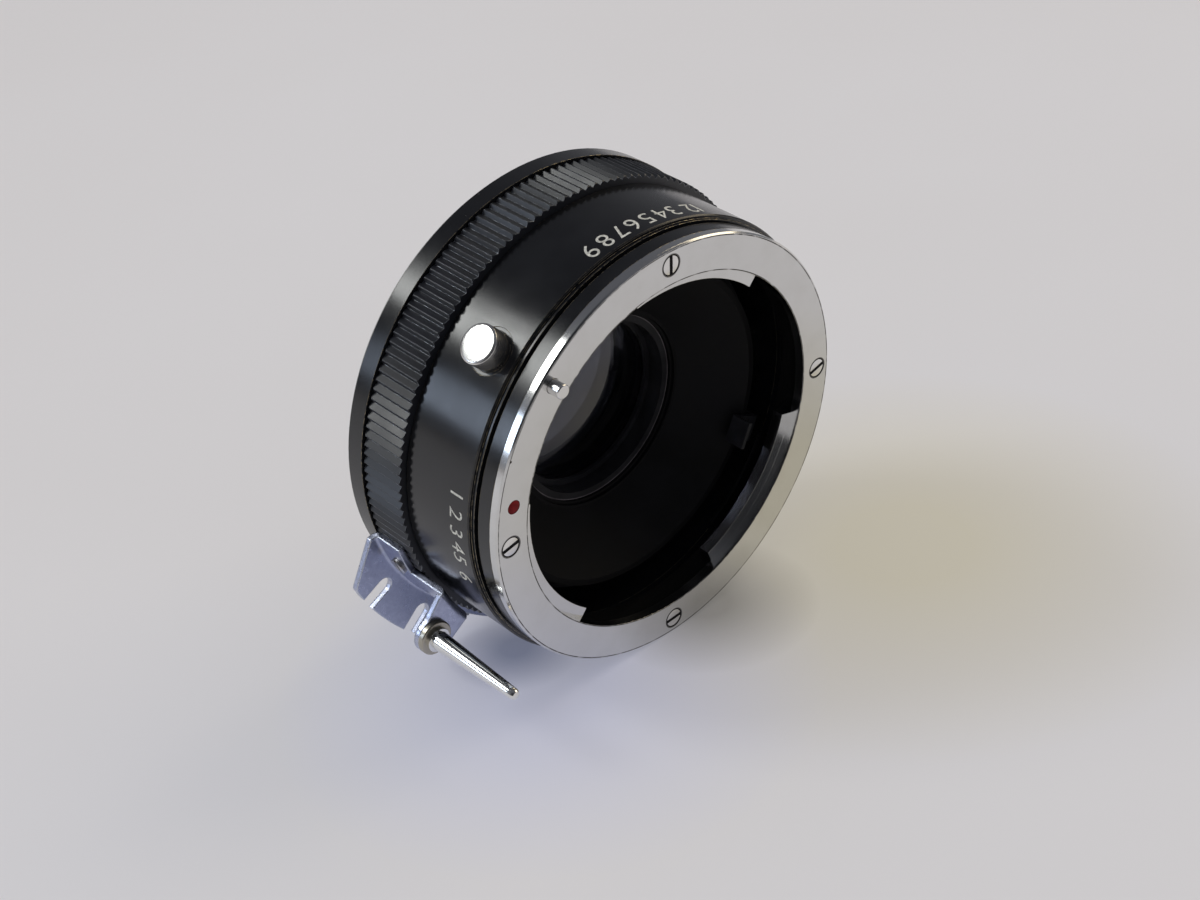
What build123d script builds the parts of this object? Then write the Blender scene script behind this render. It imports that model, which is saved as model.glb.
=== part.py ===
"""Camera teleconverter: a lens-side bayonet, a fluted coupling ring with its
bracket and pin, the optics, and a camera-side bayonet.

Millimetres, +Z up. The optical axis is Y. The lens side faces -Y, and the
origin is the centre of the lens-side flange face. Angles are seen from the
lens side, counted from +X towards +Z.
"""

import os
from math import cos, radians, sin, sqrt

from build123d import *

# Shared fits
RUNNING_GAP = 0.05          # radial gap of a turning or sliding fit
SEAT_GAP = 0.02             # radial gap of a push fit
OVERRUN = 1.0               # how far a cutting tool passes the face it leaves

# Lens-side flange
FLANGE_RADIUS = 28.2
FLANGE_THICKNESS = 1.2
FLANGE_CHAMFER = 0.2
THROAT_RADIUS = 23.5        # bore that takes the lens bayonet
LUG_INNER_RADIUS = 21.95
LUG_FRONT = 1.35            # depth of the lugs behind the flange face
LUG_THICKNESS = 1.5
LUG_SPANS = ((48.4, 100.9), (172.0, 231.2), (290.4, 345.4))
LUG_ROOM_RADIUS = 24.0      # wider room behind the lugs, where the lens's lugs turn
HUB_WALL = 1.7
HUB_DEPTH = 4.4

# Flange screws
SCREW_CIRCLE = 26.07
SCREW_COUNT = 4
SCREW_HEAD_RADIUS = 1.35
SCREW_HEAD_DEPTH = 0.75
SCREW_SHANK_RADIUS = 0.7
SCREW_LENGTH = 5.6
SCREW_SLOT_WIDTH = 0.35
SCREW_SLOT_DEPTH = 0.35
SCREW_SLOT_TURNS = (15.0, 90.0, 11.2, 3.4)

# Index dot
DOT_ANGLE = 168.3
DOT_CIRCLE = 25.8
DOT_RADIUS = 0.9
DOT_DEPTH = 0.35
DOT_CROWN = 0.08

# Leaf springs behind the lugs
LEAF_THICKNESS = 0.3
LEAF_SPAN = 34.0
LEAF_INNER_RADIUS = 22.5
LEAF_OUTER_RADIUS = 25.0

# Front collar
COLLAR_STEP = 3.2           # depth where the collar steps down to its neck
NECK_RADIUS = 27.4

# Barrel
BARREL_RADIUS = 28.9
BARREL_FRONT = 3.6
BARREL_LIP_RADIUS = 28.45   # low step in front of the barrel
BARREL_LIP_REAR = 4.1
BARREL_REAR = 15.3
BARREL_BORE = 26.6
BARREL_EDGE = 0.15
RIM_REAR = 6.2              # back of the barrel's thicker front rim
RIM_BORE = 25.25
BEARING_RADIUS = 27.25      # surface that the coupling ring turns on
BEARING_BORE = 25.2
WEB_FRONT = 16.0            # bulkhead that carries the optics
WEB_THICKNESS = 1.6
SPIGOT_RADIUS = 26.6
SPIGOT_LENGTH = 1.2

# Release button and lock
LATCH_ANGLE = 135.2
BUTTON_PLACE = 8.1          # distance of the button's axis behind the flange face
BUTTON_RADIUS = 2.48
BUTTON_TOP = 31.5
BUTTON_FOOT = 27.6
BUTTON_BEVEL = 0.25
BUTTON_TRAVEL = 1.6
STEM_WIDTH = 2.8
STEM_DEPTH = 2.4
WEDGE_TOP = 25.9
WEDGE_RISE = 2.0
GUIDE_WALL = 0.4
GUIDE_TOP = 28.7
GUIDE_FOOT = 25.0
GUIDE_FLOOR = 0.6
LOCK_PIN_CIRCLE = 26.2
LOCK_PIN_RADIUS = 0.9
LOCK_PIN_STANDOUT = 1.8
LOCK_PIN_ROUND = 0.2
SLIDE_FRONT = 2.9
SLIDE_THICKNESS = 0.8
SLIDE_WIDTH = 6.0
SLIDE_REAR = 12.0
SLIDE_INNER = 24.0
SLIDE_ARM_WIDTH = 3.0
SLIDE_ARM_TOP = 26.9
SLIDE_WINDOW_FRONT = 4.9
SLIDE_TAB_THICKNESS = 0.6
SLIDE_TAB_WIDTH = 3.0
SLIDE_GAP = 0.2
ARM_TOP_GAP = 0.3
LOCK_SPRING_RADIUS = 0.8
LOCK_SPRING_BORE = 0.5

# Coupling ring
RING_FRONT_GAP = 0.05
RING_LENGTH = 6.6
RING_RADIUS = 30.0
RING_EDGE = 0.15
FLUTE_COUNT = 156
FLUTE_DEPTH = 0.45
FLUTE_SLOPE = 0.75          # width of a flute's long face
FLUTE_FLANK = 0.4           # width of its steep face
WASHER_THICKNESS = 0.15
WASHER_PLAY = 0.15
WASHER_INSET = 0.6
WASHER_INNER_RADIUS = BEARING_RADIUS + WASHER_PLAY
WASHER_OUTER_RADIUS = RING_RADIUS - WASHER_INSET
STOP_ANGLE = 300.0
STOP_RADIUS = 0.8
STOP_INNER = 26.0
STOP_SINK = 0.8
RING_TURN_BACK = 46.0       # degrees that the ring can turn each way
RING_TURN_ON = 4.0

# Coupling bracket, bent from one sheet
SHEET = 0.8
FORK_FRONT = 21.2
FORK_HEIGHT = 6.5           # how far the fork stands above the ring
FORK_RADIUS = RING_RADIUS + FORK_HEIGHT
FORK_TIP_SPAN = (203.1, 229.1)
FORK_CORNER = 0.7
FORK_SLOT_ANGLES = (208.5, 223.7)
FORK_SLOT_WIDTH = 2.35
FORK_SLOT_RISE = 2.35
FORK_SLOT_FOOT = RING_RADIUS + FORK_SLOT_RISE
SEAT_SPAN = (195.0, 237.2)
SEAT_FRONT = 16.9
BRIDGE_SPAN = (203.2, 215.4)
LEG_FRONT = 10.8
LEG_SPAN = (205.7, 215.1)
BEND_INNER_RADIUS = 0.45
BEND_OUTER_RADIUS = 1.1
PIN_ANGLE = 209.6
PIN_RISE = 4.85             # height of the pin's axis above the ring
PIN_CIRCLE = RING_RADIUS + PIN_RISE
LEG_END_RADIUS = 2.3

# Bracket screws
BRACKET_SCREW_ANGLES = (202.0, 230.2)
BRACKET_SCREW_PLACE = 18.5
BRACKET_SCREW_HEAD_RADIUS = 1.15
BRACKET_SCREW_HEAD_HEIGHT = 0.45
BRACKET_SCREW_SHANK_RADIUS = 0.6
BRACKET_SCREW_REACH = 1.9

# Coupling pin and its collar
COLLAR_RADIUS = 2.28
COLLAR_LENGTH = 0.75
COLLAR_EDGE = 0.2
STEP_RADIUS = 1.6
STEP_LENGTH = 0.5
PIN_ROOT_RADIUS = 1.22
PIN_TIP_RADIUS = 0.72
PIN_STANDOUT = 4.5          # how far the pin's tip stands in front of the flange
PIN_TAIL_RADIUS = 0.95
PIN_RIVET_RADIUS = 1.4
PIN_RIVET_HEIGHT = 0.35

# Rear shell
SHELL_LIP = 0.2             # how far the shell stands above the ring
SHELL_TAPER = 0.6
SHELL_RADIUS = RING_RADIUS + SHELL_LIP
SHELL_REAR_RADIUS = SHELL_RADIUS - SHELL_TAPER
SHELL_BEND = 24.6           # depth where the shell starts to draw in
SHELL_REAR = 25.3
SHELL_PLATE_BORE = 22.6

# Camera-side bayonet
SEAT_RADIUS = 27.9
SEAT_THICKNESS = 1.7
TUBE_RADIUS = 21.85
TUBE_WALL = 1.4
TUBE_LENGTH = 5.6
MALE_LUG_RADIUS = 23.45
MALE_LUG_FRONT = 2.95       # from the seat face to the front of the lugs
MALE_LUG_SPANS = ((47.0, 107.0), (178.0, 230.0), (292.0, 348.0))
LOCK_NOTCH_RADIUS = 0.95
REAR_SCREW_CIRCLE = 25.0
REAR_SCREW_LENGTH = 3.4
REAR_SCREW_START = 45.0

# Front baffle
BAFFLE_FRONT = 6.65
BAFFLE_TUBE_RADIUS = 21.3
BAFFLE_SHOULDER_RADIUS = 21.55
BAFFLE_STEPS = 2            # fine turned steps just ahead of the glass
BAFFLE_STEP = 0.4
BAFFLE_MOUTH_RADIUS = 20.5
BAFFLE_THROAT_RADIUS = 12.7

# Aperture ring and its levers
APERTURE_RING_FRONT = 9.4
APERTURE_RING_LENGTH = 1.6
APERTURE_RING_RADIUS = 22.9
KEEPER_THICKNESS = 0.4
KEEPER_RADIUS = 22.8
LEVER_ANGLE = -25.0
LEVER_TURN = 32.0
LEVER_THICKNESS = 0.6
LEVER_WIDTH = 3.6
LEVER_CIRCLE = 18.8         # radius of the levers' middle, front and rear
FRONT_LEVER_TIP = 3.6
FRONT_LEVER_BEND = 5.9
REAR_LEVER_BEND = 22.0
REAR_LEVER_TIP = 33.2
SPRING_WIRE_RADIUS = 0.5
SPRING_SPAN = (-72.0, -31.0)
SPRING_PLACE = 19.5
POST_ANGLE = -74.0
POST_RADIUS = 0.6
POST_HEIGHT = 2.8
POST_SEAT = 1.2

# Optics: the depths are those of the flat edges of each element
CELL_RADIUS = 15.9
CELL_FRONT = 13.6
CELL_BORE = 12.55
CELL_FLANGE_RADIUS = 19.6
CELL_FLANGE_THICKNESS = 1.0
CELL_TAIL_RADIUS = 15.0
LENS_RADIUS = 12.5
LENS_CLEAR_RADIUS = 11.0
FRONT_RETAINER_LENGTH = 2.8
FRONT_RETAINER_BORE = 11.7
RETAINER_THICKNESS = 1.0
ELEMENT_EDGES = (1.6, 1.8, 2.0, 1.8)
SPACER_LENGTHS = (1.2, 1.0, 1.2)
FRONT_SAGS = (-1.5, 0.4, -0.8, 0.6)
REAR_SAGS = (-0.8, -0.5, 1.0, 0.5)
CELL_SCREW_CIRCLE = 17.8
CELL_SCREW_COUNT = 3
CELL_SCREW_RADIUS = 0.6
CELL_SCREW_HEAD_RADIUS = 1.1
CELL_SCREW_HEAD_HEIGHT = 0.6
MASK_RADIUS = 17.4
MASK_THICKNESS = 1.0
MASK_OPENING = 11.0
MASK_SKIRT = 2.0

# Depths that follow from the sizes above
HUB_RADIUS = THROAT_RADIUS + HUB_WALL
WEB_REAR = WEB_FRONT + WEB_THICKNESS
RING_FRONT = BARREL_REAR + RING_FRONT_GAP
RING_REAR = RING_FRONT + RING_LENGTH
RING_BORE = BEARING_RADIUS + RUNNING_GAP
SHELL_FRONT = RING_REAR + WASHER_THICKNESS
SPIGOT_REAR = SHELL_FRONT + SPIGOT_LENGTH
SEAT_FACE = SHELL_REAR + SEAT_THICKNESS
FORK_REAR = FORK_FRONT + SHEET
LEG_REAR = LEG_FRONT + SHEET
SHEET_OUTER = RING_RADIUS + SHEET
STACK_FRONT = CELL_FRONT + FRONT_RETAINER_LENGTH
CELL_REAR = STACK_FRONT + sum(ELEMENT_EDGES) + sum(SPACER_LENGTHS) + RETAINER_THICKNESS


def station(depth):
    """Plane across the optical axis, seen from the lens side."""
    return Plane.XZ.offset(-depth)


def on_circle(radius, angle):
    """Point of a cross-section sketch at a radius and an angle."""
    return (radius * cos(radians(angle)), radius * sin(radians(angle)))


def radial_plane(angle, depth):
    """Plane whose normal points outwards, with its X along the optical axis."""
    out = Vector(cos(radians(angle)), 0, sin(radians(angle)))
    return Plane(origin=(0, depth, 0), x_dir=(0, 1, 0), z_dir=out)


def side_plane(angle):
    """Plane that holds the optical axis: X is outwards, Y is the depth."""
    out = Vector(cos(radians(angle)), 0, sin(radians(angle)))
    return Plane(origin=(0, 0, 0), x_dir=out, z_dir=out.cross(Vector(0, 1, 0)))


def save(builder, name):
    """Label a finished piece, write its file and hand its shape back."""
    builder.part.label = name
    export_step(builder.part, f"parts/{name}.step")
    return builder.part


def turned(points, mode=Mode.ADD):
    """Turn a closed profile of (radius, depth) points about the optical axis."""
    with BuildSketch(Plane.XY) as profile:
        with BuildLine():
            Polyline(*points, close=True)
        make_face()
    revolve(profile.sketch, axis=Axis.Y, mode=mode)


def turned_ring(inner, outer, front, rear, mode=Mode.ADD):
    """Turn a plain ring between two radii and two depths."""
    turned(((inner, front), (outer, front), (outer, rear), (inner, rear)), mode)


def sector(inner, outer, start, end):
    """Sketch a ring sector between two angles, in the current sketch."""
    middle = (start + end) / 2
    with BuildLine() as outline:
        ThreePointArc(on_circle(outer, start), on_circle(outer, middle), on_circle(outer, end))
        Line(on_circle(outer, end), on_circle(inner, end))
        ThreePointArc(on_circle(inner, end), on_circle(inner, middle), on_circle(inner, start))
        Line(on_circle(inner, start), on_circle(outer, start))
    make_face(outline.edges())


def sector_block(inner, outer, span, front, rear, mode=Mode.ADD):
    """Ring sector between two depths."""
    with BuildSketch(station(front)) as profile:
        sector(inner, outer, span[0], span[1])
    extrude(profile.sketch, amount=front - rear, mode=mode)


def axial_rod(radius, circle, angle, front, rear, mode=Mode.ADD):
    """Round rod along the optical axis, at a place on a circle."""
    with BuildSketch(station(front)) as profile:
        with Locations(on_circle(circle, angle)):
            Circle(radius)
    extrude(profile.sketch, amount=front - rear, mode=mode)


def radial_rod(radius, angle, depth, inner, outer, mode=Mode.ADD):
    """Round rod that points outwards from the optical axis."""
    with BuildSketch(radial_plane(angle, depth).offset(inner)) as profile:
        Circle(radius)
    extrude(profile.sketch, amount=outer - inner, mode=mode)


def radial_block(width, angle, front, rear, inner, outer, mode=Mode.ADD):
    """Block at an angle: its width is across, and it points outwards."""
    with BuildSketch(radial_plane(angle, (front + rear) / 2).offset(inner)) as profile:
        Rectangle(rear - front, width)
    extrude(profile.sketch, amount=outer - inner, mode=mode)


def screw_sink(head_radius, head_depth, circle, angle, face, inward, mode):
    """Conical head of a countersunk screw; inward is +1 or -1 along the depth."""
    with BuildSketch(station(face)) as top:
        with Locations(on_circle(circle, angle)):
            Circle(head_radius)
    with BuildSketch(station(face + inward * head_depth)) as foot:
        with Locations(on_circle(circle, angle)):
            Circle(SCREW_SHANK_RADIUS)
    loft([top.sketch, foot.sketch], mode=mode)


def make_front_flange():
    with BuildPart() as front_flange:
        turned(((THROAT_RADIUS, 0), (FLANGE_RADIUS - FLANGE_CHAMFER, 0),
                (FLANGE_RADIUS, FLANGE_CHAMFER), (FLANGE_RADIUS, FLANGE_THICKNESS),
                (HUB_RADIUS, FLANGE_THICKNESS), (HUB_RADIUS, HUB_DEPTH),
                (LUG_ROOM_RADIUS, HUB_DEPTH), (LUG_ROOM_RADIUS, LUG_FRONT),
                (THROAT_RADIUS, LUG_FRONT)))
        for span in LUG_SPANS:
            sector_block(LUG_INNER_RADIUS, THROAT_RADIUS + HUB_WALL / 2, span,
                         LUG_FRONT, LUG_FRONT + LUG_THICKNESS)
        for index in range(SCREW_COUNT):
            angle = index * 360 / SCREW_COUNT
            axial_rod(SCREW_SHANK_RADIUS + SEAT_GAP, SCREW_CIRCLE, angle,
                      -OVERRUN, HUB_DEPTH + OVERRUN, Mode.SUBTRACT)
            screw_sink(SCREW_HEAD_RADIUS, SCREW_HEAD_DEPTH, SCREW_CIRCLE, angle, 0, 1,
                       Mode.SUBTRACT)
        axial_rod(DOT_RADIUS, DOT_CIRCLE, DOT_ANGLE, 0, DOT_DEPTH, Mode.SUBTRACT)
        axial_rod(LOCK_PIN_RADIUS + RUNNING_GAP, LOCK_PIN_CIRCLE, LATCH_ANGLE,
                  -OVERRUN, FLANGE_THICKNESS + OVERRUN, Mode.SUBTRACT)
        radial_block(SLIDE_WIDTH + 2 * SLIDE_GAP, LATCH_ANGLE, SLIDE_FRONT - SLIDE_GAP,
                     HUB_DEPTH + OVERRUN, SLIDE_INNER - SLIDE_GAP, HUB_RADIUS + OVERRUN,
                     Mode.SUBTRACT)
    return save(front_flange, "front_flange")


def slotted_head(circle, angle, face, inward, turn):
    """Cut the driver slot into the head of a screw along the optical axis."""
    with BuildSketch(station(face - inward * OVERRUN)) as slot:
        with Locations(Location(on_circle(circle, angle), turn)):
            Rectangle(2 * (SCREW_HEAD_RADIUS + OVERRUN), SCREW_SLOT_WIDTH)
    extrude(slot.sketch, amount=-inward * (OVERRUN + SCREW_SLOT_DEPTH), mode=Mode.SUBTRACT)


def make_flange_screws():
    with BuildPart() as flange_screws:
        for index in range(SCREW_COUNT):
            angle = index * 360 / SCREW_COUNT
            screw_sink(SCREW_HEAD_RADIUS, SCREW_HEAD_DEPTH, SCREW_CIRCLE, angle, 0, 1, Mode.ADD)
            axial_rod(SCREW_SHANK_RADIUS, SCREW_CIRCLE, angle, SCREW_HEAD_DEPTH, SCREW_LENGTH)
        for index, turn in enumerate(SCREW_SLOT_TURNS):
            slotted_head(SCREW_CIRCLE, index * 360 / SCREW_COUNT, 0, 1, turn)
    return save(flange_screws, "flange_screws")


def make_index_dot():
    with BuildPart() as index_dot:
        axial_rod(DOT_RADIUS, DOT_CIRCLE, DOT_ANGLE, -DOT_CROWN, DOT_DEPTH)
    return save(index_dot, "index_dot")


def make_bayonet_springs():
    with BuildPart() as bayonet_springs:
        for start, end in LUG_SPANS:
            middle = (start + end) / 2
            span = (middle - LEAF_SPAN / 2, middle + LEAF_SPAN / 2)
            sector_block(LEAF_INNER_RADIUS, LEAF_OUTER_RADIUS, span,
                         HUB_DEPTH, HUB_DEPTH + LEAF_THICKNESS)
    return save(bayonet_springs, "bayonet_springs")


def cut_screw_holes():
    """Clear the flange screws' shanks out of the current part."""
    for index in range(SCREW_COUNT):
        axial_rod(SCREW_SHANK_RADIUS + SEAT_GAP, SCREW_CIRCLE, index * 360 / SCREW_COUNT,
                  0, SCREW_LENGTH + SEAT_GAP, Mode.SUBTRACT)


def make_front_collar():
    with BuildPart() as front_collar:
        turned(((HUB_RADIUS + SEAT_GAP, FLANGE_THICKNESS), (FLANGE_RADIUS, FLANGE_THICKNESS),
                (FLANGE_RADIUS, COLLAR_STEP), (NECK_RADIUS, COLLAR_STEP),
                (NECK_RADIUS, BARREL_FRONT), (HUB_RADIUS + SEAT_GAP, BARREL_FRONT)))
        cut_screw_holes()
        axial_rod(LOCK_PIN_RADIUS + RUNNING_GAP, LOCK_PIN_CIRCLE, LATCH_ANGLE,
                  0, BARREL_FRONT + OVERRUN, Mode.SUBTRACT)
        radial_block(SLIDE_ARM_WIDTH + 2 * SLIDE_GAP, LATCH_ANGLE, SLIDE_FRONT - SLIDE_GAP,
                     BARREL_FRONT + OVERRUN, SLIDE_INNER, SLIDE_ARM_TOP + ARM_TOP_GAP,
                     Mode.SUBTRACT)
    return save(front_collar, "front_collar")


def make_barrel():
    slot_margin = 3.0
    with BuildPart() as barrel:
        turned(((RIM_BORE, BARREL_FRONT), (BARREL_LIP_RADIUS, BARREL_FRONT),
                (BARREL_LIP_RADIUS, BARREL_LIP_REAR),
                (BARREL_RADIUS - BARREL_EDGE, BARREL_LIP_REAR),
                (BARREL_RADIUS, BARREL_LIP_REAR + BARREL_EDGE),
                (BARREL_RADIUS, BARREL_REAR - BARREL_EDGE),
                (BARREL_RADIUS - BARREL_EDGE, BARREL_REAR), (BEARING_RADIUS, BARREL_REAR),
                (BEARING_RADIUS, SHELL_FRONT), (SPIGOT_RADIUS, SHELL_FRONT),
                (SPIGOT_RADIUS, SPIGOT_REAR), (BEARING_BORE, SPIGOT_REAR),
                (BEARING_BORE, WEB_REAR), (CELL_RADIUS + SEAT_GAP, WEB_REAR),
                (CELL_RADIUS + SEAT_GAP, WEB_FRONT), (BARREL_BORE, WEB_FRONT),
                (BARREL_BORE, RIM_REAR), (RIM_BORE, RIM_REAR)))
        cut_screw_holes()
        radial_rod(BUTTON_RADIUS + RUNNING_GAP + GUIDE_WALL, LATCH_ANGLE, BUTTON_PLACE,
                   SLIDE_INNER, BARREL_RADIUS + OVERRUN, Mode.SUBTRACT)
        radial_block(SLIDE_ARM_WIDTH + 2 * SLIDE_GAP, LATCH_ANGLE, BARREL_FRONT - OVERRUN,
                     SLIDE_FRONT + SLIDE_THICKNESS + BUTTON_TRAVEL + SLIDE_GAP,
                     SLIDE_INNER, SLIDE_ARM_TOP + ARM_TOP_GAP, Mode.SUBTRACT)
        sector_block(BAFFLE_SHOULDER_RADIUS + SLIDE_GAP, APERTURE_RING_RADIUS + SLIDE_GAP,
                     (LEVER_ANGLE - 2 * slot_margin, LEVER_ANGLE + LEVER_TURN + 2 * slot_margin),
                     WEB_FRONT - OVERRUN, WEB_REAR + OVERRUN, Mode.SUBTRACT)
        sector_block(BEARING_BORE - OVERRUN, BEARING_RADIUS + OVERRUN,
                     (STOP_ANGLE - RING_TURN_BACK - slot_margin,
                      STOP_ANGLE + RING_TURN_ON + slot_margin),
                     BRACKET_SCREW_PLACE - STOP_RADIUS - SLIDE_GAP,
                     BRACKET_SCREW_PLACE + STOP_RADIUS + SLIDE_GAP, Mode.SUBTRACT)
        axial_rod(POST_RADIUS, APERTURE_RING_RADIUS - LEVER_THICKNESS / 2, POST_ANGLE,
                  WEB_REAR - POST_SEAT, WEB_REAR + OVERRUN, Mode.SUBTRACT)
        for index in range(CELL_SCREW_COUNT):
            axial_rod(CELL_SCREW_RADIUS, CELL_SCREW_CIRCLE, index * 360 / CELL_SCREW_COUNT,
                      WEB_REAR - POST_SEAT, WEB_REAR + OVERRUN, Mode.SUBTRACT)
    return save(barrel, "barrel")


def make_button_guide():
    bore = BUTTON_RADIUS + RUNNING_GAP
    with BuildPart() as button_guide:
        radial_rod(bore + GUIDE_WALL, LATCH_ANGLE, BUTTON_PLACE, GUIDE_FOOT, GUIDE_TOP)
        radial_rod(bore, LATCH_ANGLE, BUTTON_PLACE, GUIDE_FOOT + GUIDE_FLOOR,
                   GUIDE_TOP + OVERRUN, Mode.SUBTRACT)
        radial_block(STEM_WIDTH + 2 * RUNNING_GAP, LATCH_ANGLE,
                     BUTTON_PLACE - STEM_DEPTH / 2 - RUNNING_GAP,
                     BUTTON_PLACE + STEM_DEPTH / 2 + RUNNING_GAP,
                     GUIDE_FOOT - OVERRUN, GUIDE_FOOT + GUIDE_FLOOR + OVERRUN, Mode.SUBTRACT)
        radial_block(SLIDE_ARM_WIDTH + 2 * SLIDE_GAP, LATCH_ANGLE, BARREL_FRONT - OVERRUN,
                     SLIDE_FRONT + SLIDE_THICKNESS + BUTTON_TRAVEL + SLIDE_GAP,
                     SLIDE_INNER, SLIDE_ARM_TOP + ARM_TOP_GAP, Mode.SUBTRACT)
    return save(button_guide, "button_guide")


def make_release_button():
    stem_front = BUTTON_PLACE - STEM_DEPTH / 2
    stem_rear = BUTTON_PLACE + STEM_DEPTH / 2
    with BuildPart() as release_button:
        radial_rod(BUTTON_RADIUS, LATCH_ANGLE, BUTTON_PLACE, BUTTON_FOOT, BUTTON_TOP)
        crown = release_button.faces().filter_by(GeomType.PLANE)
        outward = Vector(cos(radians(LATCH_ANGLE)), 0, sin(radians(LATCH_ANGLE)))
        top = max(crown, key=lambda face: face.center().dot(outward))
        chamfer(top.edges(), BUTTON_BEVEL)
        with BuildSketch(side_plane(LATCH_ANGLE)):
            with BuildLine():
                Polyline((BUTTON_FOOT, stem_front), (WEDGE_TOP - WEDGE_RISE, stem_front),
                         (WEDGE_TOP - WEDGE_RISE, stem_rear - WEDGE_RISE),
                         (WEDGE_TOP, stem_rear), (BUTTON_FOOT, stem_rear), close=True)
            make_face()
        extrude(amount=STEM_WIDTH / 2, both=True)
    return save(release_button, "release_button")


def make_lock_pin():
    shoulder = SLIDE_FRONT + SLIDE_THICKNESS
    with BuildPart() as lock_pin:
        axial_rod(LOCK_PIN_RADIUS, LOCK_PIN_CIRCLE, LATCH_ANGLE, -LOCK_PIN_STANDOUT, shoulder)
        tip = lock_pin.faces().sort_by(Axis.Y)[0]
        fillet(tip.edges(), LOCK_PIN_ROUND)
    return save(lock_pin, "lock_pin")


def make_lock_slide():
    slide_outer = SLIDE_INNER + SLIDE_THICKNESS
    stem_rear = BUTTON_PLACE + STEM_DEPTH / 2
    wedge_at_inner = stem_rear - (WEDGE_TOP - SLIDE_INNER) + RUNNING_GAP
    wedge_at_outer = stem_rear - (WEDGE_TOP - slide_outer) + RUNNING_GAP
    window_half = STEM_WIDTH / 2 + SLIDE_GAP
    middle = (SLIDE_INNER + slide_outer) / 2
    with BuildPart() as lock_slide:
        radial_block(SLIDE_WIDTH, LATCH_ANGLE, SLIDE_FRONT, SLIDE_REAR, SLIDE_INNER, slide_outer)
        radial_block(SLIDE_ARM_WIDTH, LATCH_ANGLE, SLIDE_FRONT, SLIDE_FRONT + SLIDE_THICKNESS,
                     SLIDE_INNER, SLIDE_ARM_TOP)
        radial_block(SLIDE_TAB_WIDTH, LATCH_ANGLE, SLIDE_REAR - SLIDE_TAB_THICKNESS, SLIDE_REAR,
                     middle - LOCK_SPRING_RADIUS - SLIDE_GAP,
                     middle + LOCK_SPRING_RADIUS + SLIDE_GAP)
        with BuildSketch(side_plane(LATCH_ANGLE)):
            with BuildLine():
                Polyline((SLIDE_INNER, SLIDE_WINDOW_FRONT), (SLIDE_INNER, wedge_at_inner),
                         (slide_outer, wedge_at_outer), (slide_outer, SLIDE_WINDOW_FRONT),
                         close=True)
            make_face()
        extrude(amount=window_half, both=True, mode=Mode.SUBTRACT)
        axial_rod(LOCK_PIN_RADIUS, LOCK_PIN_CIRCLE, LATCH_ANGLE, SLIDE_FRONT - OVERRUN,
                  SLIDE_FRONT + SLIDE_THICKNESS + OVERRUN, Mode.SUBTRACT)
    return save(lock_slide, "lock_slide")


def make_lock_spring():
    middle = SLIDE_INNER + SLIDE_THICKNESS / 2
    with BuildPart() as lock_spring:
        axial_rod(LOCK_SPRING_RADIUS, middle, LATCH_ANGLE, SLIDE_REAR, WEB_FRONT)
        axial_rod(LOCK_SPRING_BORE, middle, LATCH_ANGLE, SLIDE_REAR - OVERRUN,
                  WEB_FRONT + OVERRUN, Mode.SUBTRACT)
    return save(lock_spring, "lock_spring")


def make_coupling_ring():
    groove_floor = RING_RADIUS - FLUTE_DEPTH
    with BuildPart() as coupling_ring:
        with BuildSketch(station(RING_FRONT)):
            Circle(RING_RADIUS)
            Circle(RING_BORE, mode=Mode.SUBTRACT)
            with PolarLocations(0, FLUTE_COUNT):
                with BuildLine(mode=Mode.PRIVATE) as groove:
                    Polyline((groove_floor, 0), (RING_RADIUS + FLUTE_DEPTH, 2 * FLUTE_SLOPE),
                             (RING_RADIUS + FLUTE_DEPTH, -2 * FLUTE_FLANK), close=True)
                add(make_face(groove.edges(), mode=Mode.PRIVATE), mode=Mode.SUBTRACT)
        extrude(amount=-RING_LENGTH)
        turned(((RING_BORE, RING_FRONT), (RING_RADIUS - RING_EDGE, RING_FRONT),
                (RING_RADIUS, RING_FRONT + RING_EDGE), (RING_RADIUS, RING_REAR - RING_EDGE),
                (RING_RADIUS - RING_EDGE, RING_REAR), (RING_BORE, RING_REAR)), Mode.INTERSECT)
        for angle in BRACKET_SCREW_ANGLES:
            radial_rod(BRACKET_SCREW_SHANK_RADIUS, angle, BRACKET_SCREW_PLACE,
                       RING_RADIUS - BRACKET_SCREW_REACH, RING_RADIUS + OVERRUN, Mode.SUBTRACT)
        radial_rod(STOP_RADIUS, STOP_ANGLE, BRACKET_SCREW_PLACE, STOP_INNER,
                   RING_RADIUS + OVERRUN, Mode.SUBTRACT)
    return save(coupling_ring, "coupling_ring")


def make_friction_washer():
    with BuildPart() as friction_washer:
        turned_ring(WASHER_INNER_RADIUS, WASHER_OUTER_RADIUS, RING_REAR, SHELL_FRONT)
    return save(friction_washer, "friction_washer")


def make_stop_screw():
    with BuildPart() as stop_screw:
        radial_rod(STOP_RADIUS, STOP_ANGLE, BRACKET_SCREW_PLACE, STOP_INNER,
                   RING_RADIUS - STOP_SINK)
        radial_block(SCREW_SLOT_WIDTH, STOP_ANGLE, BRACKET_SCREW_PLACE - SCREW_HEAD_RADIUS,
                     BRACKET_SCREW_PLACE + SCREW_HEAD_RADIUS,
                     RING_RADIUS - STOP_SINK - SCREW_SLOT_DEPTH, RING_RADIUS + OVERRUN,
                     Mode.SUBTRACT)
    return save(stop_screw, "stop_screw")


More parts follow.
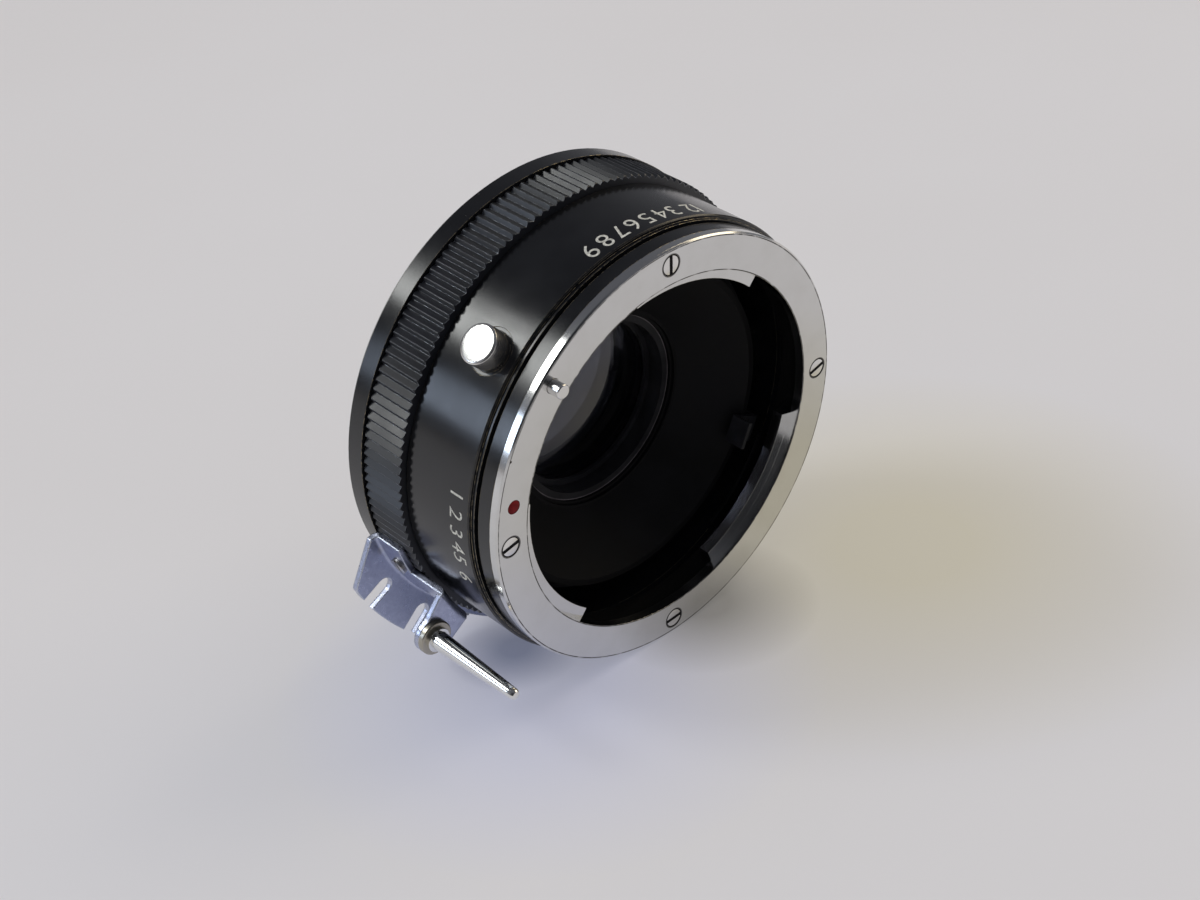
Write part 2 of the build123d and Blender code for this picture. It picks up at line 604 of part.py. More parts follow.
def fork_outline():
    """Sketch the fork plate, with its slanted sides and its arc-shaped tip."""
    foot_start, foot_end = SEAT_SPAN
    shoulder = SHEET_OUTER + 2 * BEND_INNER_RADIUS
    tip_start, tip_end = FORK_TIP_SPAN
    foot_middle = (foot_start + foot_end) / 2
    tip_middle = (tip_start + tip_end) / 2
    with BuildLine() as outline:
        Line(on_circle(RING_RADIUS, foot_start), on_circle(shoulder, foot_start))
        Line(on_circle(shoulder, foot_start), on_circle(FORK_RADIUS, tip_start))
        ThreePointArc(on_circle(FORK_RADIUS, tip_start), on_circle(FORK_RADIUS, tip_middle),
                      on_circle(FORK_RADIUS, tip_end))
        Line(on_circle(FORK_RADIUS, tip_end), on_circle(shoulder, foot_end))
        Line(on_circle(shoulder, foot_end), on_circle(RING_RADIUS, foot_end))
        ThreePointArc(on_circle(RING_RADIUS, foot_end), on_circle(RING_RADIUS, foot_middle),
                      on_circle(RING_RADIUS, foot_start))
    make_face(outline.edges())


def round_bend(builder, radius, depth, bend):
    """Round the arc-shaped edges at a radius and a depth, inside or outside a bend."""
    arcs = builder.edges().filter_by(GeomType.CIRCLE)
    bends = arcs.filter_by(lambda arc: abs(arc.radius - radius) < SEAT_GAP
                           and abs(arc.center().Y - depth) < SEAT_GAP)
    fillet(bends, bend)


def make_coupling_bracket():
    leg_middle = (LEG_SPAN[0] + LEG_SPAN[1]) / 2
    leg_turn = (LEG_SPAN[1] - LEG_SPAN[0]) / 2
    with BuildPart() as coupling_bracket:
        with BuildSketch(station(FORK_FRONT)) as fork_sketch:
            fork_outline()
            tips = fork_sketch.vertices().group_by(
                lambda corner: round(sqrt(corner.X ** 2 + corner.Y ** 2), 2))[-1]
            fillet(tips, FORK_CORNER)
            for angle in FORK_SLOT_ANGLES:
                foot = FORK_SLOT_FOOT + FORK_SLOT_WIDTH / 2
                with Locations(Location(on_circle(foot, angle), angle)):
                    Circle(FORK_SLOT_WIDTH / 2, mode=Mode.SUBTRACT)
                    Rectangle(FORK_RADIUS - foot + OVERRUN, FORK_SLOT_WIDTH,
                              align=(Align.MIN, Align.CENTER), mode=Mode.SUBTRACT)
        extrude(amount=-SHEET)
        sector_block(RING_RADIUS, SHEET_OUTER, SEAT_SPAN, SEAT_FRONT, FORK_REAR)
        sector_block(RING_RADIUS, SHEET_OUTER, BRIDGE_SPAN, LEG_FRONT, FORK_REAR)
        with BuildSketch(station(LEG_FRONT)):
            sector(RING_RADIUS, PIN_CIRCLE, leg_middle - leg_turn, leg_middle + leg_turn)
            with Locations(on_circle(PIN_CIRCLE, PIN_ANGLE)):
                Circle(LEG_END_RADIUS)
            leg_reach = RING_RADIUS + PIN_CIRCLE
            with Locations(Location(on_circle(leg_reach / 2, PIN_ANGLE), PIN_ANGLE)):
                Rectangle(PIN_CIRCLE - RING_RADIUS, 2 * LEG_END_RADIUS)
        extrude(amount=-SHEET)
        turned_ring(0, RING_RADIUS, LEG_FRONT - OVERRUN, FORK_REAR + OVERRUN, Mode.SUBTRACT)
        round_bend(coupling_bracket, SHEET_OUTER, LEG_REAR, BEND_INNER_RADIUS)
        round_bend(coupling_bracket, SHEET_OUTER, FORK_FRONT, BEND_INNER_RADIUS)
        round_bend(coupling_bracket, RING_RADIUS, LEG_FRONT, BEND_OUTER_RADIUS)
        round_bend(coupling_bracket, RING_RADIUS, FORK_REAR, BEND_OUTER_RADIUS)
        axial_rod(PIN_TAIL_RADIUS, PIN_CIRCLE, PIN_ANGLE, LEG_FRONT - OVERRUN,
                  LEG_REAR + OVERRUN, Mode.SUBTRACT)
        for angle in BRACKET_SCREW_ANGLES:
            radial_rod(BRACKET_SCREW_SHANK_RADIUS + SEAT_GAP, angle, BRACKET_SCREW_PLACE,
                       RING_RADIUS - OVERRUN, SHEET_OUTER + OVERRUN, Mode.SUBTRACT)
    return save(coupling_bracket, "coupling_bracket")


def make_bracket_screws():
    with BuildPart() as bracket_screws:
        for angle in BRACKET_SCREW_ANGLES:
            radial_rod(BRACKET_SCREW_SHANK_RADIUS, angle, BRACKET_SCREW_PLACE,
                       RING_RADIUS - BRACKET_SCREW_REACH, SHEET_OUTER)
            radial_rod(BRACKET_SCREW_HEAD_RADIUS, angle, BRACKET_SCREW_PLACE,
                       SHEET_OUTER, SHEET_OUTER + BRACKET_SCREW_HEAD_HEIGHT)
            radial_block(2 * BRACKET_SCREW_HEAD_RADIUS + OVERRUN, angle,
                         BRACKET_SCREW_PLACE - SCREW_SLOT_WIDTH / 2,
                         BRACKET_SCREW_PLACE + SCREW_SLOT_WIDTH / 2,
                         SHEET_OUTER + BRACKET_SCREW_HEAD_HEIGHT / 2,
                         SHEET_OUTER + BRACKET_SCREW_HEAD_HEIGHT + OVERRUN, Mode.SUBTRACT)
    return save(bracket_screws, "bracket_screws")


def make_pin_collar():
    front = LEG_FRONT - COLLAR_LENGTH
    with BuildPart() as pin_collar:
        axial_rod(COLLAR_RADIUS, PIN_CIRCLE, PIN_ANGLE, front, LEG_FRONT)
        fillet(pin_collar.faces().sort_by(Axis.Y)[0].edges(), COLLAR_EDGE)
        axial_rod(PIN_TAIL_RADIUS, PIN_CIRCLE, PIN_ANGLE, front - OVERRUN,
                  LEG_FRONT + OVERRUN, Mode.SUBTRACT)
    return save(pin_collar, "pin_collar")


def make_coupling_pin():
    shoulder = LEG_FRONT - COLLAR_LENGTH
    root = shoulder - STEP_LENGTH
    with BuildPart() as coupling_pin:
        axial_rod(PIN_TAIL_RADIUS, PIN_CIRCLE, PIN_ANGLE, shoulder, LEG_REAR)
        axial_rod(PIN_RIVET_RADIUS, PIN_CIRCLE, PIN_ANGLE, LEG_REAR, LEG_REAR + PIN_RIVET_HEIGHT)
        axial_rod(STEP_RADIUS, PIN_CIRCLE, PIN_ANGLE, root, shoulder)
        with BuildSketch(station(root)):
            with Locations(on_circle(PIN_CIRCLE, PIN_ANGLE)):
                Circle(PIN_ROOT_RADIUS)
        with BuildSketch(station(-PIN_STANDOUT)):
            with Locations(on_circle(PIN_CIRCLE, PIN_ANGLE)):
                Circle(PIN_TIP_RADIUS)
        loft()
        fillet(coupling_pin.faces().sort_by(Axis.Y)[0].edges(), PIN_TIP_RADIUS / 2)
    return save(coupling_pin, "coupling_pin")


def make_rear_shell():
    with BuildPart() as rear_shell:
        turned(((SPIGOT_RADIUS + SEAT_GAP, SHELL_FRONT), (SHELL_RADIUS, SHELL_FRONT),
                (SHELL_RADIUS, SHELL_BEND), (SHELL_REAR_RADIUS, SHELL_REAR),
                (SHELL_PLATE_BORE, SHELL_REAR), (SHELL_PLATE_BORE, SPIGOT_REAR),
                (SPIGOT_RADIUS + SEAT_GAP, SPIGOT_REAR)))
        for index in range(SCREW_COUNT):
            axial_rod(SCREW_SHANK_RADIUS, REAR_SCREW_CIRCLE,
                      REAR_SCREW_START + index * 360 / SCREW_COUNT,
                      SPIGOT_REAR - OVERRUN, SHELL_REAR + OVERRUN, Mode.SUBTRACT)
    return save(rear_shell, "rear_shell")


def make_rear_bayonet():
    with BuildPart() as rear_bayonet:
        turned(((TUBE_RADIUS - TUBE_WALL, SHELL_REAR), (SEAT_RADIUS, SHELL_REAR),
                (SEAT_RADIUS, SEAT_FACE - FLANGE_CHAMFER), (SEAT_RADIUS - FLANGE_CHAMFER, SEAT_FACE),
                (TUBE_RADIUS, SEAT_FACE), (TUBE_RADIUS, SEAT_FACE + TUBE_LENGTH),
                (TUBE_RADIUS - TUBE_WALL, SEAT_FACE + TUBE_LENGTH)))
        for span in MALE_LUG_SPANS:
            sector_block(TUBE_RADIUS - TUBE_WALL / 2, MALE_LUG_RADIUS, span,
                         SEAT_FACE + MALE_LUG_FRONT, SEAT_FACE + MALE_LUG_FRONT + LUG_THICKNESS)
        axial_rod(LOCK_NOTCH_RADIUS, LOCK_PIN_CIRCLE, LATCH_ANGLE, SHELL_REAR - OVERRUN,
                  SEAT_FACE + OVERRUN, Mode.SUBTRACT)
        for index in range(SCREW_COUNT):
            angle = REAR_SCREW_START + index * 360 / SCREW_COUNT
            axial_rod(SCREW_SHANK_RADIUS + SEAT_GAP, REAR_SCREW_CIRCLE, angle,
                      SHELL_REAR - OVERRUN, SEAT_FACE + OVERRUN, Mode.SUBTRACT)
            screw_sink(SCREW_HEAD_RADIUS, SCREW_HEAD_DEPTH, REAR_SCREW_CIRCLE, angle,
                       SEAT_FACE, -1, Mode.SUBTRACT)
    return save(rear_bayonet, "rear_bayonet")


def make_rear_screws():
    with BuildPart() as rear_screws:
        for index in range(SCREW_COUNT):
            angle = REAR_SCREW_START + index * 360 / SCREW_COUNT
            screw_sink(SCREW_HEAD_RADIUS, SCREW_HEAD_DEPTH, REAR_SCREW_CIRCLE, angle,
                       SEAT_FACE, -1, Mode.ADD)
            axial_rod(SCREW_SHANK_RADIUS, REAR_SCREW_CIRCLE, angle,
                      SEAT_FACE - REAR_SCREW_LENGTH, SEAT_FACE - SCREW_HEAD_DEPTH)
        for index, turn in enumerate(SCREW_SLOT_TURNS):
            slotted_head(REAR_SCREW_CIRCLE, REAR_SCREW_START + index * 360 / SCREW_COUNT,
                         SEAT_FACE, -1, turn)
    return save(rear_screws, "rear_screws")


def make_front_baffle():
    ring_rear = APERTURE_RING_FRONT + APERTURE_RING_LENGTH + RUNNING_GAP
    steps = []
    for index in range(BAFFLE_STEPS):
        radius = BAFFLE_THROAT_RADIUS + index * BAFFLE_STEP
        depth = CELL_FRONT - (index + 1) * BAFFLE_STEP
        steps.append((radius, depth))
        steps.append((radius + BAFFLE_STEP, depth))
    with BuildPart() as front_baffle:
        turned(((BAFFLE_MOUTH_RADIUS, BAFFLE_FRONT), (BAFFLE_TUBE_RADIUS, BAFFLE_FRONT),
                (BAFFLE_TUBE_RADIUS, ring_rear), (BAFFLE_SHOULDER_RADIUS, ring_rear),
                (BAFFLE_SHOULDER_RADIUS, WEB_FRONT), (CELL_RADIUS + SEAT_GAP, WEB_FRONT),
                (CELL_RADIUS + SEAT_GAP, CELL_FRONT), (BAFFLE_THROAT_RADIUS, CELL_FRONT),
                *steps))
    return save(front_baffle, "front_baffle")


def lever_bar(inner, outer, front, rear):
    """Flat bar along the optical axis, as wide as a lever."""
    radial_block(LEVER_WIDTH, LEVER_ANGLE, front, rear, inner, outer)


def make_aperture_ring():
    ring_rear = APERTURE_RING_FRONT + APERTURE_RING_LENGTH
    bar_inner = APERTURE_RING_RADIUS - LEVER_THICKNESS
    tip_inner = LEVER_CIRCLE - LEVER_THICKNESS / 2
    tip_outer = LEVER_CIRCLE + LEVER_THICKNESS / 2
    half = LEVER_WIDTH / 2
    rim = sqrt(APERTURE_RING_RADIUS ** 2 - half ** 2)
    with BuildPart() as aperture_ring:
        turned_ring(BAFFLE_TUBE_RADIUS + RUNNING_GAP, APERTURE_RING_RADIUS,
                    APERTURE_RING_FRONT, ring_rear)
        lever_bar(bar_inner, rim, FRONT_LEVER_BEND, APERTURE_RING_FRONT)
        lever_bar(tip_inner, rim, FRONT_LEVER_BEND, FRONT_LEVER_BEND + LEVER_THICKNESS)
        lever_bar(tip_inner, tip_outer, FRONT_LEVER_TIP, FRONT_LEVER_BEND + LEVER_THICKNESS)
        lever_bar(bar_inner, rim, ring_rear, REAR_LEVER_BEND)
        lever_bar(tip_inner, rim, REAR_LEVER_BEND, REAR_LEVER_BEND + LEVER_THICKNESS)
        lever_bar(tip_inner, tip_outer, REAR_LEVER_BEND, REAR_LEVER_TIP)
    return save(aperture_ring, "aperture_ring")


def make_ring_keeper():
    keeper_rear = APERTURE_RING_FRONT - RUNNING_GAP
    with BuildPart() as ring_keeper:
        turned_ring(BAFFLE_TUBE_RADIUS, KEEPER_RADIUS - LEVER_THICKNESS,
                    keeper_rear - KEEPER_THICKNESS, keeper_rear)
    return save(ring_keeper, "ring_keeper")


def make_aperture_spring():
    circle = APERTURE_RING_RADIUS - LEVER_THICKNESS / 2
    start, end = SPRING_SPAN
    with BuildPart() as aperture_spring:
        with BuildLine(station(SPRING_PLACE)) as path:
            ThreePointArc(on_circle(circle, start), on_circle(circle, (start + end) / 2),
                          on_circle(circle, end))
        with BuildSketch(Plane(origin=path.line @ 0, z_dir=path.line % 0)):
            Circle(SPRING_WIRE_RADIUS)
        sweep(path=path.line)
    return save(aperture_spring, "aperture_spring")


def make_spring_post():
    with BuildPart() as spring_post:
        axial_rod(POST_RADIUS, APERTURE_RING_RADIUS - LEVER_THICKNESS / 2, POST_ANGLE,
                  WEB_REAR - POST_SEAT, WEB_REAR + POST_HEIGHT)
    return save(spring_post, "spring_post")


def make_lens_cell():
    flange_rear = WEB_REAR + CELL_FLANGE_THICKNESS
    with BuildPart() as lens_cell:
        turned(((CELL_BORE, CELL_FRONT), (CELL_RADIUS, CELL_FRONT), (CELL_RADIUS, WEB_REAR),
                (CELL_FLANGE_RADIUS, WEB_REAR), (CELL_FLANGE_RADIUS, flange_rear),
                (CELL_TAIL_RADIUS, flange_rear), (CELL_TAIL_RADIUS, CELL_REAR),
                (CELL_BORE, CELL_REAR)))
        for index in range(CELL_SCREW_COUNT):
            axial_rod(CELL_SCREW_RADIUS + SEAT_GAP, CELL_SCREW_CIRCLE,
                      index * 360 / CELL_SCREW_COUNT, WEB_REAR - OVERRUN,
                      flange_rear + OVERRUN, Mode.SUBTRACT)
    return save(lens_cell, "lens_cell")


def make_cell_screws():
    head_foot = WEB_REAR + CELL_FLANGE_THICKNESS
    with BuildPart() as cell_screws:
        for index in range(CELL_SCREW_COUNT):
            angle = index * 360 / CELL_SCREW_COUNT
            axial_rod(CELL_SCREW_RADIUS, CELL_SCREW_CIRCLE, angle,
                      WEB_REAR - POST_SEAT, head_foot)
            axial_rod(CELL_SCREW_HEAD_RADIUS, CELL_SCREW_CIRCLE, angle,
                      head_foot, head_foot + CELL_SCREW_HEAD_HEIGHT)
    return save(cell_screws, "cell_screws")


def arc_middle(edge_depth, sag):
    """Point of a lens surface halfway out, and the depth of its vertex."""
    curve = (LENS_CLEAR_RADIUS ** 2 + sag ** 2) / (2 * abs(sag))
    half_out = LENS_CLEAR_RADIUS / 2
    fall = curve - sqrt(curve ** 2 - half_out ** 2)
    vertex = edge_depth + sag
    return (half_out, vertex - fall * (1 if sag > 0 else -1)), vertex


def make_lens(number, front, rear, front_sag, rear_sag):
    """Glass element with spherical faces inside a flat edge zone."""
    front_middle, front_vertex = arc_middle(front, front_sag)
    rear_middle, rear_vertex = arc_middle(rear, rear_sag)
    with BuildPart() as lens:
        with BuildSketch(Plane.XY):
            with BuildLine():
                ThreePointArc((0, front_vertex), front_middle, (LENS_CLEAR_RADIUS, front))
                Polyline((LENS_CLEAR_RADIUS, front), (LENS_RADIUS, front),
                         (LENS_RADIUS, rear), (LENS_CLEAR_RADIUS, rear))
                ThreePointArc((LENS_CLEAR_RADIUS, rear), rear_middle, (0, rear_vertex))
                Line((0, rear_vertex), (0, front_vertex))
            make_face()
        revolve(axis=Axis.Y)
    return save(lens, f"lens_{number}")


def make_spacer(name, front, length, outer):
    """Plain ring that holds or parts the elements inside the cell."""
    with BuildPart() as spacer:
        turned_ring(LENS_CLEAR_RADIUS, outer, front, front + length)
    return save(spacer, name)


def make_front_retainer():
    lip = STACK_FRONT - RETAINER_THICKNESS / 2
    with BuildPart() as front_retainer:
        turned(((FRONT_RETAINER_BORE, CELL_FRONT), (CELL_BORE, CELL_FRONT),
                (CELL_BORE, STACK_FRONT), (LENS_CLEAR_RADIUS, STACK_FRONT),
                (LENS_CLEAR_RADIUS, lip), (FRONT_RETAINER_BORE, lip)))
    return save(front_retainer, "front_retainer")


def make_optics():
    """Stack the elements, spacers and rear retainer from the front to the rear."""
    depth = STACK_FRONT
    for index, edge in enumerate(ELEMENT_EDGES):
        make_lens(index + 1, depth, depth + edge, FRONT_SAGS[index], REAR_SAGS[index])
        depth += edge
        if index < len(SPACER_LENGTHS):
            make_spacer(f"spacer_{index + 1}", depth, SPACER_LENGTHS[index], LENS_RADIUS)
            depth += SPACER_LENGTHS[index]
    make_spacer("rear_retainer", depth, RETAINER_THICKNESS, CELL_BORE)


def make_rear_mask():
    with BuildPart() as rear_mask:
        turned(((CELL_TAIL_RADIUS + SEAT_GAP, CELL_REAR - MASK_SKIRT),
                (MASK_RADIUS, CELL_REAR - MASK_SKIRT), (MASK_RADIUS, CELL_REAR + MASK_THICKNESS),
                (MASK_OPENING, CELL_REAR + MASK_THICKNESS), (MASK_OPENING, CELL_REAR),
                (CELL_TAIL_RADIUS + SEAT_GAP, CELL_REAR)))
    return save(rear_mask, "rear_mask")


def main():
    """Write every piece of the teleconverter."""
    os.makedirs("parts", exist_ok=True)
    make_front_flange()
    make_flange_screws()
    make_index_dot()
    make_bayonet_springs()
    make_front_collar()
    make_barrel()
    make_button_guide()
    make_release_button()
    make_lock_pin()
    make_lock_slide()
    make_lock_spring()
    make_coupling_ring()
    make_friction_washer()
    make_stop_screw()
    make_coupling_bracket()
    make_bracket_screws()
    make_pin_collar()
    make_coupling_pin()
    make_rear_shell()
    make_rear_bayonet()
    make_rear_screws()
    make_front_baffle()
    make_aperture_ring()
    make_ring_keeper()
    make_aperture_spring()
    make_spring_post()
    make_lens_cell()
    make_cell_screws()
    make_front_retainer()
    make_optics()
    make_rear_mask()


main()
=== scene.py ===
"""Dresses a camera teleconverter: a bayonet flange, a black barrel with its release
button, a fluted coupling ring with a zinc-plated bracket and pin, and the optics.

Metres, +Z up. The optical axis is Y and the lens side faces -Y. Angles go from +X
towards +Z, as seen from the lens side. Sizes in the dataclasses are in millimetres
and degrees, but for the table, the lamps and the camera, which say metres.
"""

import logging
import math
from dataclasses import dataclass, field
from enum import Enum
from typing import Iterable, Optional, Sequence, Union

import bmesh
import bpy
from mathutils import Matrix, Vector


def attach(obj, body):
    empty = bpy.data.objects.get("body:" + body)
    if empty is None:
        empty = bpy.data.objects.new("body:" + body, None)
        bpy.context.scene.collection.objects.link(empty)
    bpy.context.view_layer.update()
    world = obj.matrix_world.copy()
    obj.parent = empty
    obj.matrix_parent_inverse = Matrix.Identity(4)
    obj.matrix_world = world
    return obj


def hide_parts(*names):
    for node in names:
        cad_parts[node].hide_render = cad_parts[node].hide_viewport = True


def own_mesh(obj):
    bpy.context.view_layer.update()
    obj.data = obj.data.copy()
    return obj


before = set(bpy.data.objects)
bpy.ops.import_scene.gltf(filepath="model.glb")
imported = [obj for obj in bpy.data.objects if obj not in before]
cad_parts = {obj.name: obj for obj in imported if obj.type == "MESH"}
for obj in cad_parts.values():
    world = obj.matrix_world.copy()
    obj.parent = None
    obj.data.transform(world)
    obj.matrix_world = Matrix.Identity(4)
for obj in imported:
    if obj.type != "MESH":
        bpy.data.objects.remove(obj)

MM = 0.001
MERGE_DISTANCE = 1e-7    # metres under which a shape's points are one
CUT_DISTANCE = 1e-8      # metres under which a point lies on a cut
BEVEL_SAMPLES = 6

Colour = tuple[float, float, float]
Pair = tuple[float, float]
Profile = tuple[Pair, ...]
Socket = bpy.types.NodeSocket

log = logging.getLogger("teleconverter")


class Body(Enum):
    """The bodies of the frame that this script's pieces ride on."""

    FIXED = "body"
    BUTTON = "button"
    COUPLING = "coupling"


class Slot(Enum):
    """The record's material slots."""

    SATIN_CHROME = "satin_chrome"
    BLACK_ENAMEL = "black_enamel"
    MATT_BLACK = "matt_black"
    ZINC_PLATE = "zinc_plate"
    BRIGHT_CHROME = "bright_chrome"
    STEEL = "steel"
    BRASS = "brass"
    RED_PAINT = "red_paint"
    COATED_GLASS = "coated_glass"


def direction(angle: float) -> Vector:
    """The unit vector across the optical axis at an angle in degrees."""
    turn = math.radians(angle)
    return Vector((math.cos(turn), 0.0, math.sin(turn)))


def placing(right: Vector, up: Vector, out: Vector, origin: Vector) -> Matrix:
    """The matrix that lays X, Y and Z along three directions, at an origin."""
    return Matrix.Translation(origin) @ Matrix((right, up, out)).transposed().to_4x4()


def times(values: Iterable[float], share: float) -> tuple[float, ...]:
    """Each of several values times a share."""
    return tuple(share * value for value in values)


def linked(name: str, data: bpy.types.ID) -> bpy.types.Object:
    """A new object in the scene.

    Args:
        name: the object's name.
        data: the mesh, lamp, camera or text that it shows.

    Returns:
        The object.
    """
    piece = bpy.data.objects.new(name, data)
    bpy.context.scene.collection.objects.link(piece)
    return piece


@dataclass(frozen=True)
class Noise:
    """Fractal noise: its cells to a metre, its octaves and how rough they are."""

    scale: float
    detail: float = 4.0
    rough: float = 0.55


@dataclass(frozen=True)
class Spots:
    """Scattered round spots.

    Attributes:
        scale: cells to a metre.
        size: the largest spot's radius as a share of a cell.
        share: the share of cells that hold a spot.
    """

    scale: float
    size: float
    share: float


class Graph:
    """A node tree, with short ways to add and join its nodes."""

    SPOT_CORE = 0.6             # share of a spot's radius where it is full
    FIRST, SECOND = 6, 7        # a Mix node's colour inputs
    BLEND = 2                   # its colour output

    def __init__(self, holder: Union[bpy.types.Material, bpy.types.World], end: str,
                 place: str) -> None:
        """Empty the tree and start it with its output and its coordinates.

        Args:
            holder: the material or the world.
            end: the kind of its output node.
            place: the coordinates that it reads.
        """
        self.holder = holder
        holder.use_nodes = True
        self.tree = holder.node_tree
        self.tree.nodes.clear()
        self.output = self.add(end)
        self.place = self.add("ShaderNodeTexCoord").outputs[place]

    @classmethod
    def material(cls, name: str) -> "Graph":
        """The empty tree of a new material, which reads Object coordinates."""
        return cls(bpy.data.materials.new(name), "ShaderNodeOutputMaterial", "Object")

    def add(self, kind: str, **settings: object) -> bpy.types.Node:
        """Add a node.

        Args:
            kind: the node's type.
            settings: its properties.

        Returns:
            The node.
        """
        node = self.tree.nodes.new(kind)
        for key, value in settings.items():
            setattr(node, key, value)
        return node

    def feed(self, socket: Socket, value: object) -> None:
        """Fill a socket.

        Args:
            socket: the input.
            value: an output to link it to, or a plain value.
        """
        if isinstance(value, Socket):
            self.tree.links.new(value, socket)
        elif hasattr(value, "__len__") and len(value) == 3 and socket.type == "RGBA":
            socket.default_value = (*value, 1.0)
        else:
            socket.default_value = value

    def maths(self, operation: str, first: object, second: object = 0.0) -> Socket:
        """Join two values with a Math node.

        Args:
            operation: the node's operation.
            first: its first value.
            second: its second value.

        Returns:
            The result.
        """
        node = self.add("ShaderNodeMath", operation=operation)
        self.feed(node.inputs[0], first)
        self.feed(node.inputs[1], second)
        return node.outputs[0]

    def product(self, first: object, *others: object) -> Socket:
        """Multiply values.

        Args:
            first: the first value.
            others: the others.

        Returns:
            Their product.
        """
        for other in others:
            first = self.maths("MULTIPLY", first, other)
        return first

    def length(self, first: Socket, second: Socket) -> Socket:
        """The length of a flat vector."""
        return self.maths("SQRT", self.maths("ADD", self.product(first, first),
                                             self.product(second, second)))

    def parts(self) -> tuple[Socket, Socket, Socket]:
        """Take the coordinates apart.

        Returns:
            Their X, Y and Z.
        """
        split = self.add("ShaderNodeSeparateXYZ")
        self.feed(split.inputs[0], self.place)
        return tuple(split.outputs)

    def around_axis(self) -> tuple[Socket, Socket, Socket]:
        """Radius, angle and depth about the optical axis.

        Returns:
            The three values, the lengths in metres and the angle in radians.
        """
        across, depth, up = self.parts()
        return self.length(across, up), self.maths("ARCTAN2", up, across), depth

    def dot(self, first: Socket, second: object) -> Socket:
        """The dot product of two vectors.

        Args:
            first: the first vector.
            second: the second vector, or three plain values.

        Returns:
            The product.
        """
        node = self.add("ShaderNodeVectorMath", operation="DOT_PRODUCT")
        self.feed(node.inputs[0], first)
        self.feed(node.inputs[1], second)
        return node.outputs["Value"]

    def noise(self, noise: Noise, place: Optional[Socket] = None) -> Socket:
        """Fractal noise.

        Args:
            noise: its kind.
            place: the coordinates, or the tree's own where left out.

        Returns:
            Values between 0 and 1.
        """
        node = self.add("ShaderNodeTexNoise")
        self.feed(node.inputs["Vector"], place or self.place)
        for name, number in (("Scale", noise.scale), ("Detail", noise.detail),
                             ("Roughness", noise.rough)):
            self.feed(node.inputs[name], number)
        return node.outputs["Fac"]

    def lines(self, noise: Noise, around: Iterable[Socket], scale: Iterable[float]) -> Socket:
        """Noise drawn out into turned lines.

        Args:
            noise: the noise.
            around: radius, angle and depth about the optical axis.
            scale: the cells to a unit of each.

        Returns:
            The lines' height, between 0 and 1.
        """
        place = self.add("ShaderNodeCombineXYZ")
        for socket, value, number in zip(place.inputs, around, scale):
            self.feed(socket, self.product(value, number))
        return self.noise(noise, place.outputs[0])

    def spots(self, spots: Spots) -> Socket:
        """Scattered spots.

        Args:
            spots: their kind.

        Returns:
            A mask that is 1 inside a spot and 0 outside.
        """
        cells = self.add("ShaderNodeTexVoronoi", feature="F1")
        self.feed(cells.inputs["Vector"], self.place)
        self.feed(cells.inputs["Scale"], spots.scale)
        pick = self.add("ShaderNodeSeparateColor")
        self.feed(pick.inputs[0], cells.outputs["Color"])
        chosen = self.maths("LESS_THAN", pick.outputs[0], spots.share)
        reach = self.product(pick.outputs[1], spots.size)
        edge = self.scaled(cells.outputs["Distance"],
                           (reach, self.product(reach, self.SPOT_CORE)))
        return self.product(edge, chosen)

    def scaled(self, value: Socket, span: tuple[object, object], out: Pair = (0.0, 1.0),
               shape: str = "LINEAR") -> Socket:
        """Map a value from one range to another, and clamp it.

        Args:
            value: the value.
            span: the range that it comes from.
            out: the range that it goes to.
            shape: the node's kind of interpolation.

        Returns:
            The mapped value.
        """
        node = self.add("ShaderNodeMapRange", clamp=True, interpolation_type=shape)
        for name, number in (("Value", value), ("From Min", span[0]), ("From Max", span[1]),
                             ("To Min", out[0]), ("To Max", out[1])):
            self.feed(node.inputs[name], number)
        return node.outputs["Result"]

    def blended(self, share: object, first: object, second: object) -> Socket:
        """Blend two colours.

        Args:
            share: how much of the second shows.
            first: the first colour.
            second: the second colour.

        Returns:
            The blend.
        """
        node = self.add("ShaderNodeMix", data_type="RGBA")
        self.feed(node.inputs["Factor"], share)
        self.feed(node.inputs[self.FIRST], first)
        self.feed(node.inputs[self.SECOND], second)
        return node.outputs[self.BLEND]

    def rounded(self, radius: float) -> Socket:
        """The surface's normal, with its edges softened.

        Args:
            radius: the softening's radius in millimetres.

        Returns:
            The normal.
        """
        node = self.add("ShaderNodeBevel", samples=BEVEL_SAMPLES)
        self.feed(node.inputs["Radius"], radius * MM)
        return node.outputs["Normal"]

    def edges(self, radius: float, bend: Pair) -> Socket:
        """A mask that is 1 on outward and inward edges, from a rounded normal.

        Args:
            radius: how far from the edge the mask reaches, in millimetres.
            bend: the bends at which it starts and is full.

        Returns:
            The edges' mask.
        """
        plain = self.add("ShaderNodeNewGeometry").outputs["Normal"]
        flat = self.dot(self.rounded(radius), plain)
        return self.scaled(self.maths("SUBTRACT", 1.0, flat), bend)

    def bumped(self, height: Socket, bump: Pair, normal: Optional[Socket] = None) -> Socket:
        """A normal that follows a height.

        Args:
            height: the height, between 0 and 1.
            bump: what a height of 1 stands for, in millimetres, and the node's strength.
            normal: the normal to start from, or the surface's own.

        Returns:
            The normal.
        """
        node = self.add("ShaderNodeBump")
        self.feed(node.inputs["Distance"], bump[0] * MM)
        self.feed(node.inputs["Strength"], bump[1])
        self.feed(node.inputs["Height"], height)
        if normal is not None:
            self.feed(node.inputs["Normal"], normal)
        return node.outputs["Normal"]

